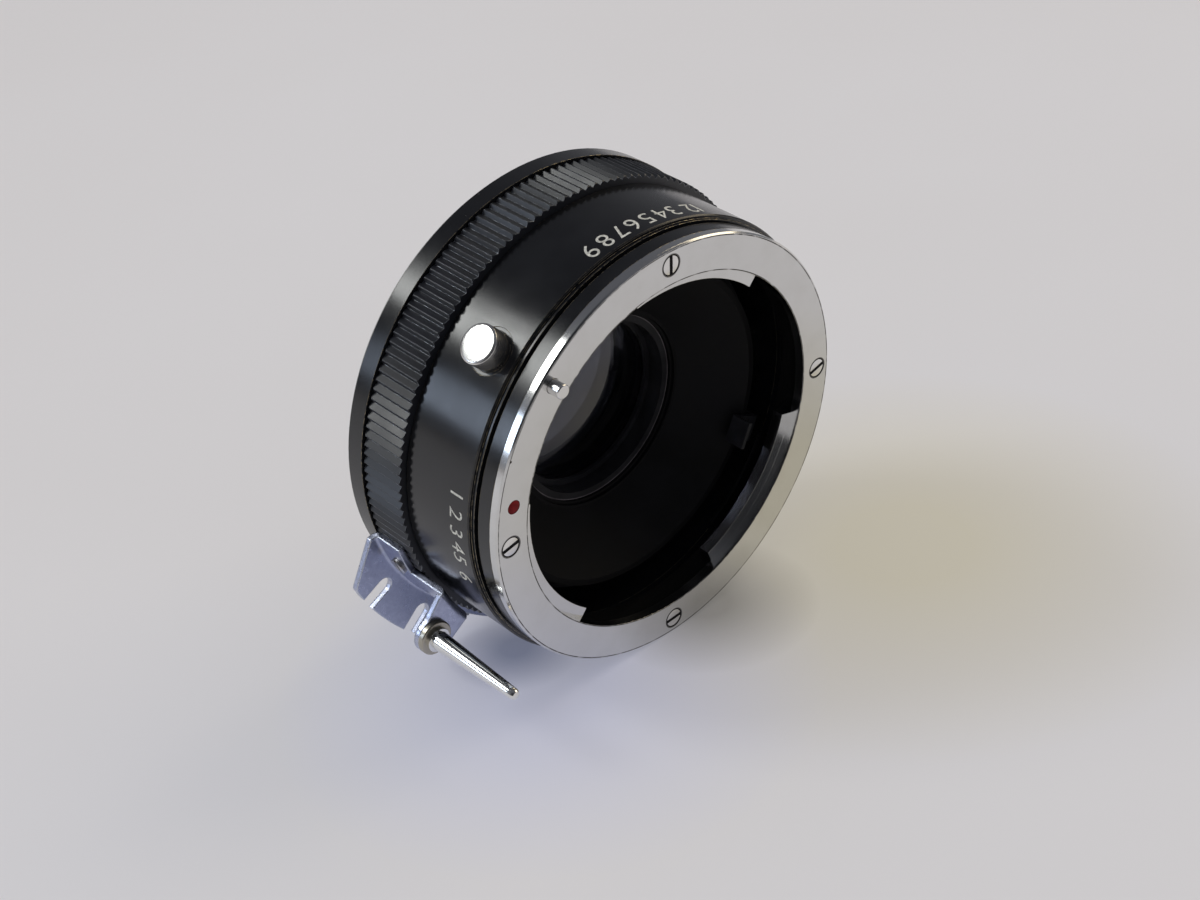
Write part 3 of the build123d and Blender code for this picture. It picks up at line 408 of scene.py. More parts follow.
    def surface(self, **sockets: object) -> bpy.types.Material:
        """Finish with one Principled shader.

        Args:
            sockets: its inputs by name, with _ for a space.

        Returns:
            The finished material.
        """
        shader = self.add("ShaderNodeBsdfPrincipled")
        for key, value in sockets.items():
            self.feed(shader.inputs[key.replace("_", " ")], value)
        self.feed(self.output.inputs["Surface"], shader.outputs[0])
        return self.holder


@dataclass(frozen=True)
class Chrome:
    """Plated metal with turned lines, specks and softened edges.

    Attributes:
        film: how strongly the tarnish lies over the colour.
        throat: the depth behind which the throat's wall is black, or 0 for none.
        seams: the radius and half width of each dirty seam line on the face.
        screws: the circle of the four screws with a ring of painted shade round them, or 0 for
            none.
    """

    name: str
    slot: Slot
    colour: Colour
    tarnish: Colour
    gloss: Pair = (0.2, 0.3)
    turned: float = 0.0
    specks: float = 0.25
    edge: float = 0.06
    film: float = 0.18
    throat: float = 0.0
    seams: Profile = ()
    screws: float = 0.0

    film_noise: Noise = Noise(260.0, 5.0, 0.6)
    film_span: Pair = (0.45, 0.75)
    smear_noise: Noise = Noise(900.0, 3.0, 0.5)
    smear_share: float = 0.4
    gloss_span: Pair = (0.4, 0.95)
    speck_scale: float = 420.0
    speck_size: float = 0.09
    speck_colour: Colour = (0.09, 0.085, 0.08)
    speck_gloss: float = 0.3
    grime_radius: float = 0.12
    grime_bend: Pair = (0.05, 0.35)
    grime_share: float = 0.35
    seam_noise: Noise = Noise(700.0, 3.0, 0.6)
    seam_span: Pair = (0.35, 0.5)
    seam_share: Pair = (0.25, 1.0)
    seam_depth: float = 0.06
    seam_colour: Colour = (0.05, 0.045, 0.04)
    screw_edge: Pair = (1.5, 1.44)
    screw_shade_share: float = 0.85
    screw_shade_colour: Colour = (0.03, 0.028, 0.025)
    throat_span: Pair = (23.52, 25.3)
    throat_colour: Colour = (0.005, 0.005, 0.005)
    line_noise: Noise = Noise(1.0, 2.0, 0.6)
    line_scale: tuple[float, float, float] = (9000.0, 1.5, 9000.0)
    grain_noise: Noise = Noise(2600.0, 3.0)
    grain_share: float = 0.25
    bump: Pair = (0.0015, 0.5)

    def screw_shade_ring(self, graph: Graph) -> Socket:
        """The ring of painted shade round the four screws on the face.

        Args:
            graph: the material's node tree.

        Returns:
            The line's mask.
        """
        across, _, up = graph.parts()
        across, up = graph.maths("ABSOLUTE", across), graph.maths("ABSOLUTE", up)
        gaps = [graph.length(graph.maths("SUBTRACT", along, self.screws * MM), beside)
                for along, beside in ((across, up), (up, across))]
        return graph.scaled(graph.maths("MINIMUM", *gaps), times(self.screw_edge, MM))

    def soiled_and_shaded(self, graph: Graph, colour: Socket, radius: Socket, depth: Socket) -> Socket:
        """The colour with the dirty seams of the face, and the painted shade round its screws.

        Args:
            graph: the material's node tree.
            colour: the clean colour.
            radius: the distance from the optical axis.
            depth: the depth behind the flange's face.

        Returns:
            The colour with its dirty seams and the painted shade.
        """
        broken = graph.scaled(graph.noise(self.seam_noise), self.seam_span, self.seam_share)
        for middle, half in self.seams:
            off = graph.maths("ABSOLUTE", graph.maths("SUBTRACT", radius, middle * MM))
            line = graph.product(graph.scaled(off, (half * MM, half / 2 * MM)),
                                 graph.maths("LESS_THAN", depth, self.seam_depth * MM), broken)
            colour = graph.blended(line, colour, self.seam_colour)
        if self.screws:
            # Painted shade: a dark ring on the face round each screw head.
            screw_shade = graph.product(self.screw_shade_ring(graph), self.screw_shade_share)
            colour = graph.blended(screw_shade, colour, self.screw_shade_colour)
        return colour

    def build(self) -> bpy.types.Material:
        """Make the material."""
        graph = Graph.material(self.name)
        around = radius, _, depth = graph.around_axis()
        film = graph.noise(self.film_noise)
        smear = graph.noise(self.smear_noise)
        specks = graph.spots(Spots(self.speck_scale, self.speck_size, self.specks))
        dark_rim = graph.edges(self.grime_radius, self.grime_bend)
        colour = graph.blended(graph.scaled(film, self.film_span, (0.0, self.film)),
                               self.colour, self.tarnish)
        colour = graph.blended(graph.product(dark_rim, self.grime_share), colour, self.tarnish)
        colour = graph.blended(specks, colour, self.speck_colour)
        colour = self.soiled_and_shaded(graph, colour, radius, depth)
        metal: object = 1.0
        if self.throat:
            inner, outer = self.throat_span
            black = graph.product(graph.maths("GREATER_THAN", depth, self.throat * MM),
                                  graph.maths("GREATER_THAN", radius, inner * MM),
                                  graph.maths("LESS_THAN", radius, outer * MM))
            colour = graph.blended(black, colour, self.throat_colour)
            metal = graph.maths("SUBTRACT", 1.0, black)
        lines = graph.lines(self.line_noise, around, self.line_scale)
        grain = graph.noise(self.grain_noise)
        height = graph.maths("ADD", graph.product(lines, self.turned),
                             graph.product(grain, self.grain_share))
        gloss = graph.scaled(graph.maths("ADD", film, graph.product(smear, self.smear_share)),
                             self.gloss_span, self.gloss)
        gloss = graph.maths("ADD", gloss, graph.product(specks, self.speck_gloss))
        return graph.surface(Base_Color=colour, Metallic=metal, Roughness=gloss,
                             Normal=graph.bumped(height, self.bump, graph.rounded(self.edge)))


@dataclass(frozen=True)
class Enamel:
    """Black enamel on brass, with dust, rubbed edges and fine turned lines. On the flutes the
    rubbed crests are also a painted highlight.
    """

    name: str
    slot: Slot = Slot.BLACK_ENAMEL
    colour: Colour = (0.0045, 0.0048, 0.0056)
    worn_and_sheen: Colour = (0.72, 0.60, 0.38)
    gloss: Pair = (0.15, 0.25)
    wear_and_sheen_strength: float = 0.9
    edge: float = 0.12
    dust: float = 0.12

    patch_noise: Noise = Noise(170.0, 5.0, 0.6)
    patch_span: Pair = (0.4, 0.7)
    patch_shade: float = 1.7
    worn_and_sheen_bend: Pair = (0.04, 0.22)
    worn_and_sheen_noise: Noise = Noise(1400.0, 4.0, 0.65)
    worn_and_sheen_span: Pair = (0.42, 0.6)
    worn_and_sheen_metal: float = 0.9
    dust_scale: float = 900.0
    dust_size: float = 0.055
    dust_colour: Colour = (0.32, 0.31, 0.29)
    line_noise: Noise = Noise(1.0, 2.0, 0.6)
    line_scale: tuple[float, float, float] = (7000.0, 260.0, 7000.0)
    line_gloss: float = 0.5
    gloss_span: Pair = (0.5, 1.0)
    bump: Pair = (0.003, 0.4)
    soft_share: float = 0.7
    index: float = 1.55

    def build(self) -> bpy.types.Material:
        """Make the material."""
        graph = Graph.material(self.name)
        patch = graph.noise(self.patch_noise)
        broken = graph.scaled(graph.noise(self.worn_and_sheen_noise), self.worn_and_sheen_span)
        worn_and_sheen = graph.product(graph.edges(self.edge, self.worn_and_sheen_bend), broken, self.wear_and_sheen_strength)
        dust = graph.spots(Spots(self.dust_scale, self.dust_size, self.dust))
        colour = graph.blended(graph.scaled(patch, self.patch_span), self.colour,
                               times(self.colour, self.patch_shade))
        colour = graph.blended(dust, colour, self.dust_colour)
        colour = graph.blended(worn_and_sheen, colour, self.worn_and_sheen)
        lines = graph.lines(self.line_noise, graph.around_axis(), self.line_scale)
        gloss = graph.scaled(graph.maths("ADD", patch, graph.product(lines, self.line_gloss)),
                             self.gloss_span, self.gloss)
        normal = graph.bumped(lines, self.bump, graph.rounded(self.edge * self.soft_share))
        return graph.surface(Base_Color=colour, Roughness=gloss, IOR=self.index, Normal=normal,
                             Metallic=graph.product(worn_and_sheen, self.worn_and_sheen_metal))


@dataclass(frozen=True)
class MattPaint:
    """Matt black inside paint with a fine grain."""

    name: str
    slot: Slot = Slot.MATT_BLACK
    colour: Colour = (0.0022, 0.0022, 0.0026)
    gloss: float = 0.55

    grain_noise: Noise = Noise(5200.0, 3.0, 0.6)
    patch_noise: Noise = Noise(210.0, 4.0, 0.6)
    patch_span: Pair = (0.35, 0.7)
    patch_shade: float = 2.2
    dust: Spots = Spots(700.0, 0.05, 0.06)
    dust_colour: Colour = (0.05, 0.05, 0.05)
    gloss_span: Pair = (0.3, 0.7)
    gloss_range: float = 0.15
    bump: Pair = (0.01, 0.4)
    index: float = 1.45
    specular: float = 0.16

    def build(self) -> bpy.types.Material:
        """Make the material."""
        graph = Graph.material(self.name)
        patch = graph.noise(self.patch_noise)
        colour = graph.blended(graph.scaled(patch, self.patch_span), self.colour,
                               times(self.colour, self.patch_shade))
        colour = graph.blended(graph.spots(self.dust), colour, self.dust_colour)
        gloss = graph.scaled(patch, self.gloss_span, (self.gloss, self.gloss + self.gloss_range))
        return graph.surface(Base_Color=colour, Roughness=gloss, IOR=self.index,
                             Specular_IOR_Level=self.specular,
                             Normal=graph.bumped(graph.noise(self.grain_noise), self.bump))


@dataclass(frozen=True)
class ZincPlate:
    """Bright bluish zinc plate with a faint mottle and a rubbed, pale edge that is also a
    painted highlight.
    """

    name: str
    slot: Slot = Slot.ZINC_PLATE
    colour: Colour = (0.50, 0.53, 0.66)
    bloom: Colour = (0.43, 0.46, 0.59)
    straw: Colour = (0.66, 0.56, 0.30)

    mottle_noise: Noise = Noise(1500.0, 6.0, 0.65)
    mottle_span: Pair = (0.4, 0.65)
    cloud_noise: Noise = Noise(330.0, 4.0, 0.6)
    cloud_height: float = 2.0
    stain_noise: Noise = Noise(240.0, 3.0, 0.5)
    stain_span: Pair = (0.62, 0.74)
    stain_share: float = 0.35
    edge: float = 0.3
    edge_bend: Pair = (0.02, 0.2)
    edge_share: float = 0.8
    pale_edge_and_sheen: Colour = (0.88, 0.92, 0.92)
    pits: Spots = Spots(1500.0, 0.1, 0.18)
    pit_colour: Colour = (0.2, 0.2, 0.22)
    gloss_span: Pair = (0.7, 1.25)
    gloss: Pair = (0.2, 0.42)
    bump: Pair = (0.006, 0.6)

    def build(self) -> bpy.types.Material:
        """Make the material."""
        graph = Graph.material(self.name)
        mottle = graph.noise(self.mottle_noise)
        cloud = graph.noise(self.cloud_noise)
        stain = graph.scaled(graph.noise(self.stain_noise), self.stain_span)
        edge = graph.edges(self.edge, self.edge_bend)
        colour = graph.blended(graph.scaled(mottle, self.mottle_span), self.colour, self.bloom)
        colour = graph.blended(graph.product(stain, self.stain_share), colour, self.straw)
        # Rubbed edges, whitened as a painted highlight as well.
        colour = graph.blended(graph.product(edge, self.edge_share), colour, self.pale_edge_and_sheen)
        colour = graph.blended(graph.spots(self.pits), colour, self.pit_colour)
        gloss = graph.scaled(graph.maths("ADD", mottle, cloud), self.gloss_span, self.gloss)
        height = graph.maths("ADD", mottle, graph.product(cloud, self.cloud_height))
        return graph.surface(Base_Color=colour, Metallic=1.0, Roughness=gloss,
                             Normal=graph.bumped(height, self.bump, graph.rounded(self.edge)))


@dataclass(frozen=True)
class PaintFill:
    """Cloudy paint: the crowned index dot, or the fill of an engraved line."""

    name: str
    slot: Slot
    colour: Colour
    noise: Noise
    span: Pair
    shade: float
    gloss: Pair
    bump: Pair
    index: float = 1.5
    specular: float = 0.5
    gloss_span: Pair = (0.3, 0.7)

    def build(self) -> bpy.types.Material:
        """Make the material."""
        graph = Graph.material(self.name)
        cloud = graph.noise(self.noise)
        colour = graph.blended(graph.scaled(cloud, self.span), self.colour,
                               times(self.colour, self.shade))
        return graph.surface(Base_Color=colour, IOR=self.index,
                             Specular_IOR_Level=self.specular,
                             Roughness=graph.scaled(cloud, self.gloss_span, self.gloss),
                             Normal=graph.bumped(cloud, self.bump))


@dataclass(frozen=True)
class CoatedGlass:
    """Optical glass with a faint bluish coating and a little haze."""

    name: str
    slot: Slot = Slot.COATED_GLASS
    colour: Colour = (0.44, 0.45, 0.49)
    coating: Colour = (0.72, 0.74, 0.9)
    index: float = 1.6
    haze_noise: Noise = Noise(420.0, 4.0, 0.6)
    haze_span: Pair = (0.45, 0.8)
    gloss: Pair = (0.005, 0.05)

    def build(self) -> bpy.types.Material:
        """Make the material."""
        graph = Graph.material(self.name)
        gloss = graph.scaled(graph.noise(self.haze_noise), self.haze_span, self.gloss)
        return graph.surface(Base_Color=self.colour, Roughness=gloss, IOR=self.index,
                             Transmission_Weight=1.0, Specular_Tint=self.coating)


@dataclass(frozen=True)
class Workshop:
    """Every finish that the pieces share."""

    satin: Chrome = Chrome("satin_chrome_turned", Slot.SATIN_CHROME, (0.70, 0.70, 0.69),
                           (0.5, 0.485, 0.45), (0.1, 0.17), 0.8, 0.4, throat=1.37,
                           seams=((27.9, 0.08), (23.57, 0.08)), screws=26.07)
    seat: Chrome = Chrome("satin_chrome_seat", Slot.SATIN_CHROME, (0.70, 0.70, 0.69),
                          (0.5, 0.485, 0.45), (0.1, 0.17), 0.8, 0.32)
    brushed: Chrome = Chrome("bright_chrome_brushed", Slot.BRIGHT_CHROME, (0.80, 0.79, 0.77),
                             (0.56, 0.50, 0.38), (0.16, 0.28), 0.4, 0.1)
    pin: Chrome = Chrome("bright_chrome_pin", Slot.BRIGHT_CHROME, (0.82, 0.82, 0.80),
                         (0.6, 0.6, 0.56), (0.07, 0.12), 0.0, 0.06, edge=0.005)
    bright: Chrome = Chrome("bright_chrome_polished", Slot.BRIGHT_CHROME, (0.80, 0.79, 0.77),
                            (0.62, 0.59, 0.52), (0.05, 0.13), 0.15, 0.1)
    nickel: Chrome = Chrome("bright_chrome_dulled", Slot.BRIGHT_CHROME, (0.46, 0.43, 0.36),
                            (0.28, 0.24, 0.17), (0.28, 0.4), 0.4, 0.2)
    steel: Chrome = Chrome("steel_plain", Slot.STEEL, (0.52, 0.51, 0.5), (0.33, 0.31, 0.28),
                           (0.22, 0.36), 0.4, 0.3)
    brass: Chrome = Chrome("brass_plain", Slot.BRASS, (0.62, 0.45, 0.2), (0.35, 0.24, 0.1),
                           (0.25, 0.4), 0.4, 0.3)
    enamel: Enamel = Enamel("black_enamel_barrel")
    # Painted reflection: the flutes' lighter, bluish enamel and their pale blue-grey crests
    # stand in for the sky seen in them; the crests are rubbed as well.
    flutes: Enamel = Enamel("black_enamel_flutes", colour=(0.010, 0.011, 0.014),
                            worn_and_sheen=(0.62, 0.66, 0.72), gloss=(0.3, 0.42), edge=0.1,
                            wear_and_sheen_strength=1.0, dust=0.26)
    matt: MattPaint = MattPaint("matt_black_inside")
    dull: MattPaint = MattPaint("matt_black_ring", colour=(0.009, 0.009, 0.010), gloss=0.3)
    cell: MattPaint = MattPaint("matt_black_cell", colour=(0.075, 0.068, 0.070), gloss=0.35)
    zinc: ZincPlate = ZincPlate("zinc_plate_bracket")
    red: PaintFill = PaintFill("red_paint_dot", Slot.RED_PAINT, (0.19, 0.004, 0.006),
                               Noise(1800.0, 4.0, 0.6), (0.35, 0.7), 0.55, (0.45, 0.6),
                               (0.01, 0.3), index=1.4, specular=0.2)
    cream: PaintFill = PaintFill("cream_fill_numerals", Slot.BLACK_ENAMEL, (0.78, 0.77, 0.68),
                                 Noise(2600.0, 4.0, 0.65), (0.4, 0.72), 0.35, (0.4, 0.6),
                                 (0.008, 0.5))
    glass: CoatedGlass = CoatedGlass("coated_glass_element")


class FinishRack:
    """Builds each finish once and hands it out."""

    def __init__(self) -> None:
        """Start with nothing built."""
        self.made: dict[str, bpy.types.Material] = {}

    def get(self, finish: object) -> bpy.types.Material:
        """The material of a finish, built on first use.

        Args:
            finish: the finish.

        Returns:
            Its material.
        """
        if finish.name not in self.made:
            self.made[finish.name] = finish.build()
        return self.made[finish.name]

    def dress(self, finish: object, *nodes: str) -> None:
        """Give CAD nodes a finish in place of their plain one.

        Args:
            finish: the finish.
            nodes: the nodes' names.
        """
        for node in nodes:
            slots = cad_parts[node].data.materials
            slots.clear()
            slots.append(self.get(finish))
            log.info("%s: dressed in %s", node, finish.name)


@dataclass
class Part:
    """A sub-assembly: it makes its pieces, dresses them and says what it made."""

    rack: FinishRack
    shop: Workshop
    made: list[bpy.types.Object] = field(default_factory=list)

    def finished(self, mesh: bmesh.types.BMesh, name: str, body: Body, finish: object,
                 replaced: Sequence[str] = (), smooth: float = 35.0) -> bpy.types.Object:
        """Turn a finished bmesh into a piece on a body.

        Args:
            mesh: the piece's shape in the frame, in metres; it is freed here.
            name: the piece's name.
            body: what it moves with.
            finish: its finish.
            replaced: the CAD nodes that it stands for.
            smooth: the largest bend, in degrees, that is shaded as one surface.

        Returns:
            The piece.
        """
        bend = math.radians(smooth)
        for face in mesh.faces:
            face.smooth = True
        for edge in mesh.edges:
            edge.smooth = not edge.is_manifold or edge.calc_face_angle(0.0) < bend
        data = bpy.data.meshes.new(name)
        mesh.to_mesh(data)
        mesh.free()
        piece = linked(name, data)
        data.materials.append(self.rack.get(finish))
        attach(piece, body.value)
        if replaced:
            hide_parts(*replaced)
        self.made.append(piece)
        return piece

    def report(self, title: str) -> None:
        """Log the sub-assembly and each piece that it made.

        Args:
            title: the sub-assembly's name.
        """
        log.info("%s: %d pieces of its own", title, len(self.made))
        for piece in self.made:
            log.info("    %s: %d faces", piece.name, len(piece.data.polygons))


class Shape:
    """Ways to make and cut a bmesh."""

    @staticmethod
    def turned(profile: Sequence[Pair], angle: float, circle: float, outwards: bool = False,
               steps: int = 40, closed: bool = False) -> bmesh.types.BMesh:
        """Turn a profile of (radius, place) points about a line, in millimetres.

        Args:
            profile: the points; a radius of 0 closes the shape at its pole.
            angle: where the line crosses the circle, in degrees.
            circle: the line's distance from the optical axis; for an outward line, its depth.
            outwards: whether the line points outwards, and not along the optical axis.
            steps: how many steps make the full turn.
            closed: whether the profile's last point joins its first.

        Returns:
            The turned shape in metres.
        """
        mesh = bmesh.new()
        points = [mesh.verts.new((radius * MM, 0.0, place * MM)) for radius, place in profile]
        for first, second in zip(points, points[1:] + ([points[0]] if closed else [])):
            mesh.edges.new((first, second))
        bmesh.ops.spin(mesh, geom=mesh.verts[:] + mesh.edges[:], cent=(0, 0, 0),
                       axis=(0, 0, 1), angle=math.tau, steps=steps, use_merge=True)
        Shape.mended(mesh)
        out, back = direction(angle), Vector((0.0, 1.0, 0.0))
        if outwards:
            along, side, origin = out, back, back * circle * MM
        else:
            along, side, origin = back, out, out * circle * MM
        bmesh.ops.transform(mesh, matrix=placing(side, along.cross(side), along, origin),
                            verts=mesh.verts)
        return mesh

    @staticmethod
    def mended(mesh: bmesh.types.BMesh) -> None:
        """Merge doubled points and turn every face outwards."""
        bmesh.ops.remove_doubles(mesh, verts=mesh.verts, dist=MERGE_DISTANCE)
        bmesh.ops.recalc_face_normals(mesh, faces=mesh.faces)

    @staticmethod
    def of_node(node: str, merge: float = MERGE_DISTANCE) -> bmesh.types.BMesh:
        """A copy of a CAD node's mesh.

        Args:
            node: the node.
            merge: the distance in metres under which its points are made one.

        Returns:
            The copy.
        """
        mesh = bmesh.new()
        mesh.from_mesh(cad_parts[node].data)
        bmesh.ops.remove_doubles(mesh, verts=mesh.verts, dist=merge)
        return mesh

    @staticmethod
    def cut(mesh: bmesh.types.BMesh, normal: Vector, place: float) -> None:
        """Cut the faces along a plane.

        Args:
            mesh: the shape.
            normal: the plane's normal.
            place: how far out along it the plane lies, in millimetres.
        """
        bmesh.ops.bisect_plane(mesh, geom=mesh.verts[:] + mesh.edges[:] + mesh.faces[:],
                               plane_co=normal * place * MM, plane_no=normal,
                               dist=CUT_DISTANCE)

    @staticmethod
    def seated(mesh: bmesh.types.BMesh, turn: float, angle: float, circle: float,
               depth: float = 0.0) -> bmesh.types.BMesh:
        """Turn a shape about its own axis and move it onto a circle.

        Args:
            mesh: the shape, about the optical axis.
            turn: how far it turns, in degrees.
            angle: its place on the circle, in degrees.
            circle: the circle's radius in millimetres.
            depth: how far back it moves, in millimetres.

        Returns:
            The same shape.
        """
        bmesh.ops.rotate(mesh, cent=(0, 0, 0), verts=mesh.verts,
                         matrix=Matrix.Rotation(-math.radians(turn), 3, "Y"))
        bmesh.ops.translate(mesh, verts=mesh.verts, vec=(
            direction(angle) * circle + Vector((0.0, depth, 0.0))) * MM)
        return mesh

    @staticmethod
    def joined(shapes: Iterable[bmesh.types.BMesh]) -> bmesh.types.BMesh:
        """Put several shapes into one bmesh.

        Args:
            shapes: the shapes, which are freed here.

        Returns:
            The joined shape.
        """
        whole = bmesh.new()
        for shape in shapes:
            data = bpy.data.meshes.new("joining")
            shape.to_mesh(data)
            shape.free()
            whole.from_mesh(data)
            bpy.data.meshes.remove(data)
        return whole


@dataclass
class FrontFlange(Part):
    """The lens-side flange with its lugs, screws and index dot.

    Attributes:
        screw_turns: each slot's direction, from +X towards +Z.
        screw_face: the depth above which a face belongs to a screw's top.
        slot_shade_gap: how far the painted shade stays off the slot's walls.
        slot_shade_wave: the height and the tightness of the ripple along the painted shade.
    """

    screw_circle: float = 26.07
    screw_head: float = 1.2
    screw_turns: tuple[float, ...] = (15.0, 90.0, 11.2, 3.4)
    screw_profile: Profile = ((0.0, 0.01), (1.12, 0.01), (1.2, 0.05), (1.2, 0.2),
                              (0.7, 0.72), (0.7, 5.4), (0.45, 5.6), (0.0, 5.6))
    screw_face: float = 0.06
    screw_smooth: float = 30.0
    slot_width: float = 0.5
    slot_depth: float = 0.32
    gap_shade_profile: Profile = ((1.1, 0.05), (1.4, 0.02), (1.38, 0.2), (1.1, 0.22))
    slot_shade_gap: float = 0.012
    slot_shade_reach: float = 0.985
    slot_shade_height: float = 0.2
    slot_shade_depth: float = 0.18
    slot_shade_cuts: int = 6
    slot_shade_wave: Pair = (0.05, 5.0)
    dot_angle: float = 168.3
    dot_circle: float = 25.8
    dot_profile: Profile = ((0.0, -0.07), (0.35, -0.06), (0.62, -0.03), (0.78, 0.0),
                            (0.88, 0.06), (0.88, 0.33), (0.0, 0.33))
    dot_smooth: float = 60.0

    def screw(self, angle: float, turn: float) -> bmesh.types.BMesh:
        """One slotted head and its shank.

        Args:
            angle: its place on the screw circle.
            turn: the slot's direction, from +X towards +Z.

        Returns:
            The screw's shape.
        """
        half = self.slot_width / 2
        mesh = Shape.turned(self.screw_profile, 0.0, 0.0)
        across = Vector((0.0, 0.0, 1.0))
        for side in (-1, 1):
            Shape.cut(mesh, across, half * side)
        floor = [face for face in mesh.faces
                 if abs(face.calc_center_median().dot(across)) < half * MM
                 and face.calc_center_median().y < self.screw_face * MM]
        out = bmesh.ops.extrude_face_region(mesh, geom=floor)
        moved = [item for item in out["geom"] if isinstance(item, bmesh.types.BMVert)]
        bmesh.ops.translate(mesh, vec=(0, self.slot_depth * MM, 0), verts=moved)
        bmesh.ops.delete(mesh, geom=floor, context="FACES")
        bmesh.ops.recalc_face_normals(mesh, faces=mesh.faces)
        return Shape.seated(mesh, turn, angle, self.screw_circle)

    def dark_rim(self, angle: float) -> bmesh.types.BMesh:
        """The painted shade in the gap round a screw head: a dark ring just below the face."""
        return Shape.turned(self.gap_shade_profile, angle, self.screw_circle, closed=True)

    def slot_shade(self, angle: float, turn: float) -> bmesh.types.BMesh:
        """The painted shade on the floor and walls of a slot: a dark lining.

        Args:
            angle: its screw's place on the screw circle.
            turn: the slot's direction, from +X towards +Z.

        Returns:
            The shape of the painted shade.
        """
        half, length = self.slot_width / 2 - self.slot_shade_gap, self.screw_head * self.slot_shade_reach
        ripple, tightness = self.slot_shade_wave
        mesh = bmesh.new()
        bmesh.ops.create_cube(mesh, size=MM)
        bmesh.ops.scale(mesh, vec=(2 * length, self.slot_shade_height, 2 * half), verts=mesh.verts)
        long_edges = [edge for edge in mesh.edges
                      if abs((edge.verts[0].co - edge.verts[1].co).x) > MM]
        bmesh.ops.subdivide_edges(mesh, edges=long_edges, cuts=self.slot_shade_cuts,
                                  use_grid_fill=True)
        for vert in mesh.verts:
            if vert.co.y < 0:
                vert.co.y += ripple * MM * math.cos(vert.co.x / (length * MM) * tightness)
        return Shape.seated(mesh, turn, angle, self.screw_circle, self.slot_shade_depth)

    def build(self) -> None:
        """Make and dress the flange's pieces."""
        shop = self.shop
        self.rack.dress(shop.satin, "front_flange")
        self.rack.dress(shop.matt, "bayonet_springs")
        apart = 360.0 / len(self.screw_turns)
        for index, turn in enumerate(self.screw_turns):
            angle = index * apart
            self.finished(self.screw(angle, turn), f"flange_screw_{index + 1}", Body.FIXED,
                          shop.bright, ("flange_screws",) if index == 0 else (),
                          self.screw_smooth)
            # Painted shade: a dark ring in the gap round each screw head and a dark lining in
            # its slot.
            self.finished(Shape.joined((self.dark_rim(angle), self.slot_shade(angle, turn))),
                          f"flange_screw_shade_{index + 1}", Body.FIXED, shop.matt)
        dot = Shape.turned(self.dot_profile, self.dot_angle, self.dot_circle)
        self.finished(dot, "index_dot_paint", Body.FIXED, shop.red, ("index_dot",),
                      self.dot_smooth)
        self.report("front flange")


@dataclass(frozen=True)
class NumeralRow:
    """A row of digits: each digit's angle, and the row's depth and height."""

    name: str
    digits: str
    angles: tuple[float, ...]
    depth: float
    height: float


@dataclass
class Barrel(Part):
    """The black collar, barrel and rear shell, with plain numerals.

    Attributes:
        cap_share: how much of the font's size a digit's height takes.
        half_thickness: half of a digit's thickness.
        thinning: how far a digit's outline is drawn in.
        sunk: how far the digits' middle lies under the barrel's surface.
    """

    radius: float = 28.9
    rows: tuple[NumeralRow, ...] = (
        NumeralRow("top", "123456789",
                   (68.6, 71.2, 76.9, 80.8, 85.4, 89.8, 94.0, 98.5, 103.2), 6.45, 2.6),
        NumeralRow("side", "123456", (169.3, 174.5, 179.4, 184.0, 187.5, 193.7), 6.4, 2.3))
    cap_share: float = 0.72
    half_thickness: float = 0.03
    thinning: float = 0.02
    sunk: float = 0.012
    curve_steps: int = 6

    def outline(self, digit: str, height: float) -> bmesh.types.BMesh:
        """A flat, thin digit about the origin, in Blender's own font.

        Args:
            digit: the character.
            height: its height.

        Returns:
            The digit's shape.
        """
        curve = bpy.data.curves.new("numeral", "FONT")
        curve.body = digit
        curve.size = height * MM / self.cap_share
        curve.align_x = "CENTER"
        curve.align_y = "CENTER"
        curve.extrude = self.half_thickness * MM
        curve.offset = -self.thinning * MM
        curve.resolution_u = self.curve_steps
        text = linked("numeral", curve)
        bpy.context.view_layer.update()
        data = bpy.data.meshes.new_from_object(text)
        mesh = bmesh.new()
        mesh.from_mesh(data)
        bpy.data.objects.remove(text)
        bpy.data.curves.remove(curve)
        bpy.data.meshes.remove(data)
        return mesh

    def numeral(self, digit: str, angle: float, row: NumeralRow) -> bmesh.types.BMesh:
        """One engraved digit, laid on the barrel.

        Args:
            digit: the character.
            angle: the digit's middle on the barrel.
            row: the row that it belongs to.

        Returns:
            The digit's shape.
        """
        mesh = self.outline(digit, row.height)
        bmesh.ops.remove_doubles(mesh, verts=mesh.verts, dist=MERGE_DISTANCE)
        for vert in mesh.verts:
            vert.co.z -= vert.co.x ** 2 / (2 * self.radius * MM)
        out, up = direction(angle), Vector((0.0, -1.0, 0.0))
        origin = out * (self.radius - self.sunk) * MM + Vector((0.0, row.depth * MM, 0.0))
        bmesh.ops.transform(mesh, matrix=placing(up.cross(out), up, out, origin),
                            verts=mesh.verts)
        bmesh.ops.recalc_face_normals(mesh, faces=mesh.faces)
        return mesh

    def build(self) -> None:
        """Make and dress the barrel's pieces."""
        shop = self.shop
        self.rack.dress(shop.enamel, "front_collar", "barrel", "rear_shell")
        self.rack.dress(shop.brass, "friction_washer")
        for row in self.rows:
            shapes = (self.numeral(digit, angle, row)
                      for digit, angle in zip(row.digits, row.angles))
            self.finished(Shape.joined(shapes), f"numerals_{row.name}", Body.FIXED, shop.cream)
        self.report("barrel")


